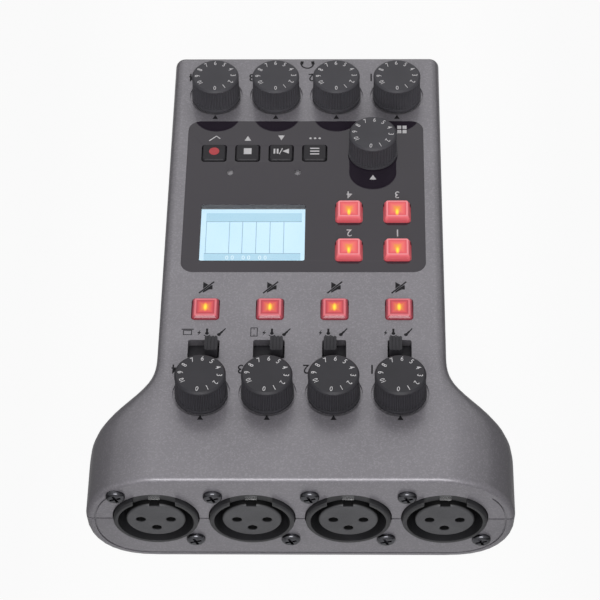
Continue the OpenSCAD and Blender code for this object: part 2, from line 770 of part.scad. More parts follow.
module xlr_shells()
    color("#3c3c3f") for (x = sockets) xlr_shell(x);

module xlr_inserts()
    color("#5b5b5e") for (x = sockets) on_face(x) difference() {
        translate([0, 0, -socket_bore_depth + seat]) rotate_extrude()
            polygon([[0, 0], [insert_d / 2, 0],
                [insert_d / 2, socket_bore_depth + insert_top - seat - socket_edge],
                [insert_d / 2 - socket_edge, socket_bore_depth + insert_top - seat],
                [0, socket_bore_depth + insert_top - seat]]);
        for (p = contact_points()) translate([p.x, p.y, -socket_depth])
            cylinder(d = contact_d, h = socket_depth + socket_proud + 1, $fn = 24);
        translate([-insert_key_w / 2, insert_d / 2 - insert_key_in, -socket_bore_depth / 2])
            cube([insert_key_w, 2 * insert_key_in, socket_depth]);
    }

module xlr_contacts()
    color("#c9a94f") for (x = sockets, p = contact_points()) on_face(x) translate([p.x, p.y, -socket_depth])
        difference() {
            cylinder(d = contact_d - 2 * fit, h = socket_depth + insert_top - contact_back, $fn = 24);
            translate([0, 0, socket_depth - socket_bore_depth + contact_base])
                cylinder(d = contact_d - 2 * (fit + contact_wall), h = socket_depth, $fn = 24);
        }

module xlr_springs()
    color("#c4c5c7") for (x = sockets) on_face(x)
        let (root = seat + spring_root - socket_bore_depth)
        translate([-spring_w / 2, insert_d / 2 + spring_from_insert + fit, root])
            cube([spring_w, spring_t - 2 * fit, latch_top + spring_out - root]);

// Pan-head screw with a cross recess
module xlr_screws()
    color("#2b2b2d") for (x = sockets, s = [-1, 1]) on_face(x) translate([s * screw_dx, -s * screw_dz, 0])
        difference() {
            rotate_extrude($fn = 32) polygon(concat(
                [[0, -face_wall - screw_reach_in], [screw_d / 2, -face_wall - screw_reach_in]],
                [[screw_d / 2, seat], [screw_head_d / 2, seat]],
                [for (t = [0:18:90]) [screw_head_d / 2, screw_proud] + screw_edge * [cos(t) - 1, sin(t) - 1]],
                [[0, screw_proud]]));
            for (a = [0, 90]) rotate(a + 20) translate([0, 0, screw_proud])
                cube([screw_head_d * recess_share, recess_w, 2 * recess_d], center = true);
        }

// Ribbed knob with a bevelled top, drawn about its own axis from the panel up
module knob(low) {
    r1 = knob_base_d / 2 - knob_step;
    r2 = knob_top_d / 2;
    body = knob_h - knob_skirt - knob_cap;
    lap = 0.3;
    difference() {
        union() {
            translate([0, 0, low]) cylinder(d = knob_base_d, h = knob_skirt - low);
            translate([0, 0, knob_skirt - lap]) linear_extrude(body + 2 * lap, scale = (r2 - 0.1) / r1)
                polygon([for (k = [0:knob_ribs * 4 - 1])
                    let (a = 90 * k / knob_ribs, r = r1 - (k % 4 < 2 ? 0 : rib_depth))
                    [r * cos(a), r * sin(a)]]);
            translate([0, 0, knob_h - knob_cap]) rotate_extrude()
                polygon([[0, 0], [r2, 0], [r2, knob_cap - knob_bevel], [r2 - knob_bevel, knob_cap],
                    [0, knob_cap]]);
        }
        translate([0, 0, low - 1]) cylinder(d = shaft_d + 2 * fit, h = shaft_end + seat + 1 - low);
    }
}

module shaft()
    color("#8d8f92") difference() {
        translate([0, 0, board_top + pot_floor + shaft_room])
            cylinder(d = shaft_d, h = shaft_end - board_top - pot_floor - shaft_room);
        // Driver slot in the shaft end
        translate([-shaft_d, -shaft_slot_w / 2, shaft_end - shaft_slot_d])
            cube([2 * shaft_d, shaft_slot_w, 2 * shaft_slot_d]);
    }

module gain_knob(k) color("#3a3a3d") on_panel(cols[k], gain_y) knob(gap - well_depth / 2);
module gain_shaft(k) on_panel(cols[k], gain_y) shaft();
module phones_knob(k) color("#3a3a3d") on_panel(cols[k], phones_y) knob(gap - well_depth / 2);
module phones_shaft(k) on_panel(cols[k], phones_y) shaft();
module pad_knob() color("#3a3a3d") on_panel(pad_knob_x, key_y) knob(gap);
module pad_shaft() on_panel(pad_knob_x, key_y) shaft();

module pot()
    difference() {
        union() {
            translate([-pot_w / 2, -pot_w / 2, board_top + seat]) cube([pot_w, pot_w, pot_h - seat]);
            for (s = [-1, 1]) translate([s * pot_w / 2 - pot_ear.x / 2, -pot_ear.y / 2, board_top + seat])
                cube(pot_ear);
        }
        translate([0, 0, board_top + pot_floor]) cylinder(d = shaft_d + 2 * running, h = pot_h);
    }

module potentiometers()
    color("#4b6f9c") {
        for (x = cols, y = [gain_y, phones_y]) on_panel(x, y) pot();
        on_panel(pad_knob_x, key_y) pot();
    }

module slide_switches()
    color("#b9babd") {
        for (k = [0:3]) on_panel(cols[k], switch_y) difference() {
            slab(travel[k] + nub_w + 2 * frame_over, frame_len, 0.3, board_top + seat, board_top + frame_h);
            slab(travel[k] + nub_w - blade_in + 2 * gap, blade_len + 2 * gap, 0.3,
                board_top + blade_foot - gap, board_top + frame_h + 1);
        }
        at_side(1, power_y, under - power_drop)
            translate([-power_body.x / 2, -power_body.y / 2, -wall - power_air - gap - power_body.z])
                cube([power_body.x, power_body.y - seat, power_body.z]);
    }

// Slide-switch nub, its dust cover under the panel and its blade in the switch body
module input_switch(k)
    color("#1c1c1e") on_panel(nub_x[k], switch_y) difference() {
        union() {
            slab(nub_w, nub_len, nub_r, -wall - gap - eps, nub_h);
            slab(2 * cover_half[k], slot_len + 2 * cover_lap, nub_r, -wall - gap - cover_t, -wall - gap);
            slab(nub_w - blade_in, blade_len, 0.2, board_top + blade_foot, -wall - gap - cover_t + eps);
        }
        // Finger grooves across the nub
        for (d = [-1, 0, 1]) translate([d * grip_pitch - grip_w / 2, -nub_len, nub_h - grip_d])
            cube([grip_w, 2 * nub_len, 1]);
    }

module tact(x, y)
    on_panel(x, y) translate([0, tact_shift, 0]) {
        translate([-tact_w / 2, -tact_w / 2, board_top + seat]) cube([tact_w, tact_w, tact_h - seat]);
        translate([0, 0, board_top + tact_h - eps]) cylinder(d = plunger_d, h = plunger_h + eps, $fn = 24);
    }

module tact_switches()
    color("#c9cacc") {
        for (x = cols) tact(x, mute_y);
        for (p = concat(pads, keys)) tact(p.x, p.y);
    }

module button_leds()
    color("#fff2a8") {
        for (p = concat([for (x = cols) [x, mute_y]], pads)) on_panel(p.x, p.y)
            translate([-led.x / 2, -led_back, board_top + seat]) cube(led);
    }

module status_lights()
    color("#6a6468") for (p = lights) on_panel(p.x, p.y, board_top + seat)
        cylinder(d = light_d, h = board_depth - seat, $fn = 24);

// Push button: pillow cap, retaining flange under the skin, post to its switch
module button(w, l, wt, h, skin) {
    low = h * button_skirt;
    slab(w, l, button_r, -skin - gap - eps, low);
    translate([0, 0, low - eps]) linear_extrude(h - low + eps, scale = wt / w)
        rrect(w, l, button_r, $fn = 24);
    slab(w + 2 * flange_lap, l + 2 * flange_lap, flange_t, -skin - gap - flange_t, -skin - gap);
    translate([0, tact_shift, post_end])
        cylinder(d = button_post_d, h = -skin - gap - flange_t - post_end + eps, $fn = 24);
}

module mute_button(k)
    color("#f0606c") on_panel(cols[k], mute_y) button(lit_w, lit_w, lit_top_w, mute_h, wall);
module pad_button(k)
    color("#f0606c") on_panel(pads[k].x, pads[k].y) button(lit_w, lit_w, lit_top_w, pad_h, panel_t);
module key_button(k)
    color("#232326") on_panel(keys[k].x, keys[k].y)
        button(key_w, key_len, key_w - key_draw, key_h, panel_t);

// Jack with its collar, drawn from the outer face inward along -Z
module jack(skin)
    difference() {
        union() {
            translate([-jack_w / 2, -jack_h / 2, -skin - gap - jack_body]) cube([jack_w, jack_h, jack_body]);
            translate([0, 0, -skin - gap - eps]) cylinder(d = collar_d, h = skin + gap + eps);
        }
        translate([0, 0, -jack_depth]) cylinder(d = jack_d, h = jack_depth + 1);
    }

module audio_jacks()
    color("#202022") {
        for (x = cols) translate([x, y_end, jack_z]) rotate([-90, 0, 0]) jack(wall);
        at_side(1, phone_y, under - jack_h / 2 - seat) jack(wall);
    }

module usb_ports()
    color("#b8babd") for (y = port_y) at_side(-1, y, under - port_h / 2 - seat) difference() {
        translate([0, 0, -port_len]) linear_extrude(port_len - port_set)
            rrect(port_w, port_h, port_h / 2 - 0.05);
        translate([0, 0, port_back - port_len]) linear_extrude(port_len) difference() {
            rrect(port_w - 2 * port_skin, port_h - 2 * port_skin, port_h / 2 - port_skin - 0.05);
            square([tongue_w, tongue_t], center = true);
        }
    }

module card_reader()
    color("#b8babd") at_side(-1, card_y, under - card_t / 2 - seat) difference() {
        translate([-card_w / 2 - card_cheek, -card_t / 2, -wall - gap - card_len])
            cube([card_w + 2 * card_cheek, card_t, card_len]);
        translate([-card_w / 2 + card_skin, -card_t / 2 + card_skin, card_cheek - wall - gap - card_len])
            cube([card_w - 2 * card_skin, card_t - 2 * card_skin, card_len + 1]);
    }

module power_slider()
    color("#232326") at_side(1, power_y, under - power_drop) {
        translate([-power_travel / 2, 0, -wall - gap - eps]) difference() {
            linear_extrude(wall + gap + eps - power_set) square([power_w, power_hh], center = true);
            // Grip grooves
            for (d = [-1, 0, 1])
                translate([d * power_w / 4 - grip_w / 2, -power_hh, wall + gap - power_set - grip_w])
                    cube([grip_w, 2 * power_hh, 1]);
        }
        translate([0, 0, -wall - gap - power_flange_t]) linear_extrude(power_flange_t)
            square([power_w + power_travel, power_hh] + power_flange, center = true);
    }

module battery_cells()
    color("#b98a3c") for (s = [-1, 1])
        translate([-s * cell_len / 2, bay_y + s * (cell_d + bay_room) / 2, cell_z]) rotate([0, s * 90, 0]) {
            cylinder(d = cell_d, h = cell_len - cell_cap);
            cylinder(d = cell_cap_d, h = cell_len, $fn = 32);
        }

// Plate with a pressed dome at each end of each cell
module battery_contacts()
    color("#c4c5c7") for (sx = [-1, 1], sy = [-1, 1])
        translate([sx * (bay_x - seat), bay_y + sy * (cell_d + bay_room) / 2, cell_z])
        rotate([0, -sx * 90, 0]) {
            translate([-plate_w / 2, -plate_w / 2, 0]) cube([plate_w, plate_w, plate_t]);
            rotate_extrude($fn = 32) polygon([[0, 0], [dome_d / 2, 0], [dome_d / 2, plate_t],
                [dome_tip_d / 2, bay_end - 3 * seat], [0, bay_end - 3 * seat]]);
        }

// Door with its hinge barrel and trunnions along the near edge
module battery_door()
    color("#7d7c80") difference() {
        union() {
            translate([-bay_x + gap, hinge_y - hinge_lead, foot_h])
                cube([2 * (bay_x - gap), door_y1 - hinge_y + hinge_lead, door_t]);
            translate([-bay_x + gap, hinge_y, hinge_z]) rotate([0, 90, 0])
                cylinder(r = hinge_r, h = 2 * (bay_x - gap));
            translate([-bay_x + gap, hinge_y - hinge_r, foot_h + door_t - eps])
                cube([2 * (bay_x - gap), 2 * hinge_r, hinge_z - foot_h - door_t + eps]);
            translate([-bay_x - hinge_pin_len + gap, hinge_y, hinge_z]) rotate([0, 90, 0])
                cylinder(d = hinge_pin_d, h = 2 * (bay_x + hinge_pin_len - gap));
        }
        // Grip ridges near the free edge
        for (k = [0:3]) translate([-ridge.x / 2, door_y1 - ridge_from_edge - ridge_pitch * k, foot_h - 1])
            cube([ridge.x, ridge.y, 1 + ridge.z]);
    }

module rubber_feet()
    color("#1d1d1f") for (p = feet) translate([p.x, p.y, 0])
        cylinder(d = foot_d, h = foot_h + foot_sink - seat);

module case_screws()
    color("#2b2b2d") for (p = posts) translate([p.x, p.y, foot_h + case_sink + seat - 0.05]) difference() {
        union() {
            cylinder(d = case_head_d, h = case_head_h - seat);
            cylinder(d = case_screw_d, h = part_z(p.y) - post_down + screw_reach - foot_h - case_sink);
        }
        for (a = [0, 90]) rotate(a) cube([case_recess.x, case_recess.y, 2 * case_recess.z], center = true);
    }

upper_case();
lower_case();
display_panel();
display_window();
lcd_module();
control_board();
input_board();
xlr_shells();
xlr_inserts();
xlr_contacts();
xlr_springs();
xlr_screws();
potentiometers();
slide_switches();
tact_switches();
button_leds();
status_lights();
audio_jacks();
usb_ports();
card_reader();
battery_cells();
battery_contacts();
rubber_feet();
case_screws();
gain_knob(0);  // gain_knob_1
gain_knob(1);  // gain_knob_2
gain_knob(2);  // gain_knob_3
gain_knob(3);  // gain_knob_4
gain_shaft(0);  // gain_shaft_1
gain_shaft(1);  // gain_shaft_2
gain_shaft(2);  // gain_shaft_3
gain_shaft(3);  // gain_shaft_4
phones_knob(0);  // phones_knob_1
phones_knob(1);  // phones_knob_2
phones_knob(2);  // phones_knob_3
phones_knob(3);  // phones_knob_4
phones_shaft(0);  // phones_shaft_1
phones_shaft(1);  // phones_shaft_2
phones_shaft(2);  // phones_shaft_3
phones_shaft(3);  // phones_shaft_4
pad_knob();
pad_shaft();
input_switch(0);  // input_switch_1
input_switch(1);  // input_switch_2
input_switch(2);  // input_switch_3
input_switch(3);  // input_switch_4
mute_button(0);  // mute_button_1
mute_button(1);  // mute_button_2
mute_button(2);  // mute_button_3
mute_button(3);  // mute_button_4
pad_button(0);  // pad_button_1
pad_button(1);  // pad_button_2
pad_button(2);  // pad_button_3
pad_button(3);  // pad_button_4
key_button(0);  // record_button
key_button(1);  // stop_button
key_button(2);  // play_button
key_button(3);  // menu_button
power_slider();
battery_door();
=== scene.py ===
import math

import bmesh
import bpy
from mathutils import Matrix, Vector


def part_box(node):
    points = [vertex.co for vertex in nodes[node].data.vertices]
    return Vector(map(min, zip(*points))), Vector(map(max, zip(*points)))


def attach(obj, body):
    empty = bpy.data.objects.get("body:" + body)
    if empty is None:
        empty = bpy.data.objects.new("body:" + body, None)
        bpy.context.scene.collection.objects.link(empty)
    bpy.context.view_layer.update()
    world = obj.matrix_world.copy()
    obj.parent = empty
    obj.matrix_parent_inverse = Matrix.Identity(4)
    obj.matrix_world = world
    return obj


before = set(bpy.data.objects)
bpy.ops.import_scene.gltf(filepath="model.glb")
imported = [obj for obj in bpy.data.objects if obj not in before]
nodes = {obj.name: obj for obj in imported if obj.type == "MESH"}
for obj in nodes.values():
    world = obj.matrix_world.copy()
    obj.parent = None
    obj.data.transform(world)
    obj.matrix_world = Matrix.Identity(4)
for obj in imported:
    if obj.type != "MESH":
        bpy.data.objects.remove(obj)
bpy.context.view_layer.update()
scene = bpy.context.scene
mm = 0.001

# the sloping control deck that most pieces sit on, sizes in mm; y counts from the middle of the moulded case,
# which lies behind the middle of the box because the sockets stand out in front
caseLow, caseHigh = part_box("upper_case")
caseMiddle = (caseLow.y + caseHigh.y) / 2 / mm
deck = dict(faceY=-77.5, faceHeight=41.15, endY=77.5, endHeight=22.39,
            columns=(-25.92, -8.64, 8.64, 25.92), gainY=-49.3, phonesY=60.8, padKnob=(19.025, 37.9),
            muteY=-20.2, muteHeight=1.0, padX=(12.4, 25.65), padY=(0.8, 15.0), padHeight=1.8)
slope = math.atan((deck["faceHeight"] - deck["endHeight"]) / (deck["endY"] - deck["faceY"]))
deckUp = Vector((0, math.sin(slope), math.cos(slope)))
deckAlong = Vector((0, math.cos(slope), -math.sin(slope)))


def deckPoint(x, y, height=0.0, u=0.0, v=0.0):
    z = deck["faceHeight"] - math.tan(slope) * (y - deck["faceY"])
    return (Vector((x + u, y + caseMiddle, z)) + deckAlong * v + deckUp * height) * mm


def linear(hexColour):
    values = [int(hexColour[i:i + 2], 16) / 255 for i in (1, 3, 5)]
    return [v / 12.92 if v <= 0.04045 else ((v + 0.055) / 1.055) ** 2.4 for v in values] + [1.0]


def addNode(tree, kind, settings=None, links=None):
    node = tree.nodes.new(kind)
    for key, value in (settings or {}).items():
        if isinstance(key, int) or key in node.inputs:
            node.inputs[key].default_value = value
        else:
            setattr(node, key, value)
    for key, source in (links or {}).items():
        tree.links.new(source, node.inputs[key])
    return node


def emptyMaterial(name):
    material = bpy.data.materials.new(name)
    material.use_nodes = True
    material.node_tree.nodes.clear()
    return material, material.node_tree


# most values of a noise texture lie in this range
noiseRange = {"From Min": 0.3, "From Max": 0.7}
# how the lacquer's flakes stand out of its colour: only the brighter ones, and never fully
sparkle = {"From Min": 0.55, "From Max": 1.0, "To Max": 0.55}
# where the painted shade of recesses sets in and where it has taken over, in mm behind the front
recessShadeFade = dict(start=0.12, end=0.4)


# colours vary slowly over patchMm and the surface is broken up at grainMm, depthMm deep; flakeMm adds a
# sparkle of flakeColour, the colour of painted shade takes over just behind frontMm along Y, and shader
# holds the sockets that stay even
def surfaceFinish(name, colour, second, patchMm, grainMm, depthMm, rough, shader=None, flakeMm=0.0,
                  flakeColour=None, recessShadeColour=None, frontMm=0.0):
    material, tree = emptyMaterial(name)
    where = addNode(tree, "ShaderNodeTexCoord").outputs["Object"]
    patches = addNode(tree, "ShaderNodeTexNoise",
                      {"Scale": 1 / (patchMm * mm), "Detail": 3.0, "Roughness": 0.55}, {"Vector": where})
    spread = addNode(tree, "ShaderNodeMapRange", noiseRange, {"Value": patches.outputs["Fac"]})
    tint = addNode(tree, "ShaderNodeMix", {"data_type": "RGBA", 6: linear(colour), 7: linear(second)},
                   {0: spread.outputs["Result"]})
    paint = tint.outputs[2]
    if flakeMm:
        cells = addNode(tree, "ShaderNodeTexVoronoi", {"Scale": 1 / (flakeMm * mm)}, {"Vector": where})
        split = addNode(tree, "ShaderNodeSeparateColor", {}, {"Color": cells.outputs["Color"]})
        shine = addNode(tree, "ShaderNodeMapRange", sparkle, {"Value": split.outputs["Red"]})
        paint = addNode(tree, "ShaderNodeMix", {"data_type": "RGBA", 7: linear(flakeColour)},
                        {0: shine.outputs["Result"], 6: paint}).outputs[2]
    # painted shade: surfaces more than a little behind the front turn to the dark colour, as the shade of
    # holes and gaps
    if recessShadeColour:
        axes = addNode(tree, "ShaderNodeSeparateXYZ", {}, {"Vector": where})
        depth = addNode(tree, "ShaderNodeMapRange",
                        {"From Min": (frontMm + recessShadeFade["start"]) * mm,
                         "From Max": (frontMm + recessShadeFade["end"]) * mm}, {"Value": axes.outputs["Y"]})
        paint = addNode(tree, "ShaderNodeMix", {"data_type": "RGBA", 7: linear(recessShadeColour)},
                        {0: depth.outputs["Result"], 6: paint}).outputs[2]
    grain = addNode(tree, "ShaderNodeTexNoise", {"Scale": 1 / (grainMm * mm), "Detail": 2.0},
                    {"Vector": where})
    gloss = addNode(tree, "ShaderNodeMapRange", {**noiseRange, "To Min": rough[0], "To Max": rough[1]},
                    {"Value": grain.outputs["Fac"]})
    relief = addNode(tree, "ShaderNodeBump", {"Strength": 1.0, "Distance": depthMm * mm},
                     {"Height": grain.outputs["Fac"]})
    skin = addNode(tree, "ShaderNodeBsdfPrincipled", shader,
                   {"Base Color": paint, "Roughness": gloss.outputs["Result"],
                    "Normal": relief.outputs["Normal"]})
    addNode(tree, "ShaderNodeOutputMaterial", {}, {"Surface": skin.outputs["BSDF"]})
    return material


# metallic lacquer sprayed on moulded ABS: soft grey with pin-sized sparkle; the flakes are about 0.05 mm
# and are drawn at 0.35 mm so that they show
lacquer = dict(patchMm=18, grainMm=0.3, depthMm=0.003, flakeMm=0.35,
               shader={"Metallic": 0.3, "IOR": 1.45, "Coat Weight": 0.5, "Coat Roughness": 0.2})
casePaint = surfaceFinish("metallic_lacquer_on_abs", "#807d83", "#88858b", rough=(0.36, 0.44),
                          flakeColour="#9b989e", **lacquer)
# the lower half in the same lacquer, a touch darker
lowerPaint = surfaceFinish("metallic_lacquer_lower", "#7a777d", "#828085", rough=(0.38, 0.46),
                           flakeColour="#949197", **lacquer)
# polished black acrylic sheet: deep colour under a mirror skin with faint handling haze
glossPanel = surfaceFinish("polished_black_acrylic", "#2c2530", "#302934", patchMm=25, grainMm=4.0,
                           depthMm=0.001, rough=(0.03, 0.07), shader={"IOR": 1.49})
# ABS moulded in a spark-eroded tool: even satin black-grey with a fine grain, 0.12 mm drawn at 0.2 mm
knobGrain = dict(patchMm=9, grainMm=0.2, depthMm=0.01, rough=(0.42, 0.56), shader={"IOR": 1.36})
knobPlastic = surfaceFinish("spark_eroded_abs", "#353438", "#3b3a3f", **knobGrain)
# painted light: the same plastic drawn lighter for the far knobs, which look paler as they catch more light
paintedLightKnob = surfaceFinish("spark_eroded_abs_painted_light", "#47464b", "#4e4d52", **knobGrain)
# silicone rubber keys: soft dark skin that takes a broad sheen
keyRubber = surfaceFinish("moulded_silicone_rubber", "#232126", "#2a282c", patchMm=5, grainMm=0.25,
                          depthMm=0.006, rough=(0.4, 0.52), shader={"IOR": 1.36})
# polyamide slider nubs, bead-blasted tool: matt black
nubPlastic = surfaceFinish("bead_blasted_polyamide", "#3a393d", "#424145", patchMm=4, grainMm=0.2,
                           depthMm=0.012, rough=(0.5, 0.65), shader={"IOR": 1.36})
# glass-filled polyamide of the socket shells: dark grey with a slightly cloudy moulded skin
shellPlastic = surfaceFinish("glass_filled_polyamide", "#252527", "#2f2f32", patchMm=6, grainMm=0.25,
                             depthMm=0.01, rough=(0.4, 0.56), shader={"IOR": 1.53})
# black PBT inserts: a paler semi-matt grey front; holes and sides are painted near-black as the shade that
# falls in them
insertPlastic = surfaceFinish("moulded_pbt", "#454548", "#4f4f52", patchMm=5, grainMm=0.25,
                              depthMm=0.008, rough=(0.42, 0.56), shader={"IOR": 1.5},
                              recessShadeColour="#101011", frontMm=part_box("xlr_inserts")[0].y / mm)
# bronze contacts painted so dark that they read as holes: painted shade of the holes they sit in
contactMetal = surfaceFinish("bronze_painted_dark_as_shade", "#2c2416", "#201a10", patchMm=1.5, grainMm=0.1,
                             depthMm=0.002, rough=(0.25, 0.42), shader={"Metallic": 1.0})
# rolled stainless spring strip, softly blurred by its fine grain
springSteel = surfaceFinish("rolled_stainless_strip", "#c3c3c4", "#d2d2d2", patchMm=3, grainMm=0.15,
                            depthMm=0.002, rough=(0.2, 0.34), shader={"Metallic": 1.0})
# dark nickel on steel screws: a smoky mirror, lighter in patches
blackScrew = surfaceFinish("dark_nickel_steel", "#4c4c50", "#606064", patchMm=1.2, grainMm=0.15,
                           depthMm=0.004, rough=(0.1, 0.2), shader={"Metallic": 1.0})
# nickel-plated steel port shells, drawn and tumbled
portSteel = surfaceFinish("nickel_plated_steel", "#b4b5b7", "#c4c5c6", patchMm=3, grainMm=0.15,
                          depthMm=0.002, rough=(0.22, 0.36), shader={"Metallic": 1.0})
# jack bodies in black PBT, satin
jackPlastic = surfaceFinish("satin_pbt", "#1b1b1d", "#232325", patchMm=4, grainMm=0.2,
                            depthMm=0.008, rough=(0.45, 0.58), shader={"IOR": 1.55})
# frosted acrylic light pipes: milky grey while unlit
lightPipe = surfaceFinish("frosted_acrylic_pipe", "#949296", "#a2a0a4", patchMm=1, grainMm=0.12,
                          depthMm=0.004, rough=(0.4, 0.55),
                          shader={"IOR": 1.49, "Subsurface Weight": 0.25, "Subsurface Scale": 1.0,
                                  "Subsurface Radius": (0.001, 0.0009, 0.0009)})
# moulded neoprene feet: dull black with dusty bloom
footRubber = surfaceFinish("moulded_neoprene", "#1b1b1c", "#262626", patchMm=3, grainMm=0.3,
                           depthMm=0.02, rough=(0.7, 0.85), shader={"IOR": 1.45})
# glass-epoxy boards under green solder resist, uneven at 0.5 mm like the weave below it
boardResist = surfaceFinish("glass_epoxy_resist", "#23512f", "#2c6039", patchMm=2, grainMm=0.5,
                            depthMm=0.01, rough=(0.28, 0.4), shader={"IOR": 1.55})
# lacquered steel jackets of the cells, half gloss and without print
cellJacket = surfaceFinish("lacquered_steel_jacket", "#a5793a", "#b5873f", patchMm=8, grainMm=0.5,
                           depthMm=0.002, rough=(0.25, 0.35), shader={"Metallic": 0.5})
# tinned potentiometer cans and machined shafts
tinnedSteel = surfaceFinish("tinned_steel", "#8f9194", "#a3a5a7", patchMm=2, grainMm=0.2,
                            depthMm=0.003, rough=(0.3, 0.45), shader={"Metallic": 0.9})
# moulded LCP switch bodies, ivory grey
switchPlastic = surfaceFinish("moulded_lcp", "#b7b6b0", "#c4c3bd", patchMm=3, grainMm=0.25,
                              depthMm=0.006, rough=(0.45, 0.6), shader={"IOR": 1.6})
# foam gasket between panel and display, close cells of 0.2 mm
gasketFoam = surfaceFinish("closed_cell_foam", "#3a383b", "#464447", patchMm=2, grainMm=0.2,
                           depthMm=0.02, rough=(0.75, 0.9), shader={"IOR": 1.4})
# screen-printed inks lie as a thin dull film, uneven at 0.15 mm
inkFilm = dict(patchMm=1.5, grainMm=0.15, depthMm=0.003)
darkInk = surfaceFinish("dark_screen_ink", "#1c1b1e", "#242327", rough=(0.5, 0.65),
                        shader={"IOR": 1.25}, **inkFilm)
whiteInk = surfaceFinish("white_screen_ink", "#dedcde", "#e8e6e9", rough=(0.5, 0.65),
                         shader={"IOR": 1.4}, **inkFilm)
redInk = surfaceFinish("red_screen_ink", "#c9444b", "#d4545a", rough=(0.45, 0.6),
                       shader={"IOR": 1.5}, **inkFilm)
print("plain finishes made:", len(bpy.data.materials))

# what the two kinds of lit button share, distances in mm
glow = dict(reach=4.0, flameWide=0.5, flameLong=1.25, flameFade=(0.2, 1.1), flameEdge=(0.75, 1.35),
            flamePower=0.6, core="#ffdc34", fringe="#f49a2c", rippleMm=0.5, rippleDepth=0.01,
            rough=(0.16, 0.3))


# translucent polycarbonate button, lit from below: tones gives its colour by the distance from the middle,
# from the lamp's orange over red to the dark line and the pale frame of the crown, which is light leaking
# through its bevel together with a painted highlight on it, and on to the dim sides; the lamp itself is a
# narrow yellow flame, flameY along the deck from the middle
def litButtonFinish(name, crown, strength, flameY, tones):
    material, tree = emptyMaterial(name)
    where = addNode(tree, "ShaderNodeTexCoord").outputs["Object"]
    local = addNode(tree, "ShaderNodeMapping", {"vector_type": "TEXTURE", "Location": crown,
                                                "Rotation": (-slope, 0, 0), "Scale": (mm, mm, mm)},
                    {"Vector": where}).outputs["Vector"]
    axes = addNode(tree, "ShaderNodeSeparateXYZ", {}, {"Vector": local})
    across = addNode(tree, "ShaderNodeMath", {"operation": "ABSOLUTE"}, {0: axes.outputs["X"]})
    along = addNode(tree, "ShaderNodeMath", {"operation": "ABSOLUTE"}, {0: axes.outputs["Y"]})
    edge = addNode(tree, "ShaderNodeMath", {"operation": "MAXIMUM"},
                   {0: across.outputs["Value"], 1: along.outputs["Value"]})
    share = addNode(tree, "ShaderNodeMath", {"operation": "DIVIDE", 1: glow["reach"]},
                    {0: edge.outputs["Value"]})
    body = addNode(tree, "ShaderNodeValToRGB", {}, {"Fac": share.outputs["Value"]})
    band = body.color_ramp.elements
    while len(band) < len(tones):
        band.new(0.5)
    for element, (place, tone) in zip(band, tones):
        element.position = place / glow["reach"]
        element.color = linear(tone)
    flat = addNode(tree, "ShaderNodeVectorMath",
                   {"operation": "MULTIPLY_ADD", 1: (1 / glow["flameWide"], 1 / glow["flameLong"], 0),
                    2: (0, -flameY / glow["flameLong"], 0)}, {0: local})
    flame = addNode(tree, "ShaderNodeVectorMath", {"operation": "LENGTH"},
                    {0: flat.outputs["Vector"]}).outputs["Value"]
    heat = addNode(tree, "ShaderNodeMapRange",
                   {"From Min": glow["flameFade"][0], "From Max": glow["flameFade"][1]}, {"Value": flame})
    lamp = addNode(tree, "ShaderNodeMix",
                   {"data_type": "RGBA", 6: linear(glow["core"]), 7: linear(glow["fringe"])},
                   {0: heat.outputs["Result"]})
    cover = addNode(tree, "ShaderNodeMapRange",
                    {"From Min": glow["flameEdge"][0], "From Max": glow["flameEdge"][1],
                     "To Min": 1.0, "To Max": 0.0}, {"Value": flame})
    colour = addNode(tree, "ShaderNodeMix", {"data_type": "RGBA"},
                     {0: cover.outputs["Result"], 6: body.outputs["Color"], 7: lamp.outputs[2]}).outputs[2]
    power = addNode(tree, "ShaderNodeMapRange", {"To Min": strength, "To Max": glow["flamePower"]},
                    {"Value": cover.outputs["Result"]})
    ripple = addNode(tree, "ShaderNodeTexNoise", {"Scale": 1 / (glow["rippleMm"] * mm), "Detail": 2.0},
                     {"Vector": where})
    relief = addNode(tree, "ShaderNodeBump", {"Strength": 0.6, "Distance": glow["rippleDepth"] * mm},
                     {"Height": ripple.outputs["Fac"]})
    gloss = addNode(tree, "ShaderNodeMapRange", {"To Min": glow["rough"][0], "To Max": glow["rough"][1]},
                    {"Value": ripple.outputs["Fac"]})
    skin = addNode(tree, "ShaderNodeBsdfPrincipled",
                   {"IOR": 1.5, "Subsurface Weight": 0.2, "Subsurface Scale": 1.0,
                    "Subsurface Radius": (0.0012, 0.0004, 0.0004)},
                   {"Base Color": colour, "Emission Color": colour,
                    "Emission Strength": power.outputs["Result"],
                    "Roughness": gloss.outputs["Result"], "Normal": relief.outputs["Normal"]})
    addNode(tree, "ShaderNodeOutputMaterial", {}, {"Surface": skin.outputs["BSDF"]})
    return material


# clear acrylic pane, nearly invisible, its cut edges painted dark so that they do not pipe the light; faces
# whose tilt to the deck has a cosine above flatCosine stay clear
pane = dict(smearMm=6, haze=0.03, clear="#fafdff", rim=("#3c383e", "#4a464c"), rimGrainMm=0.3, flatCosine=0.5)


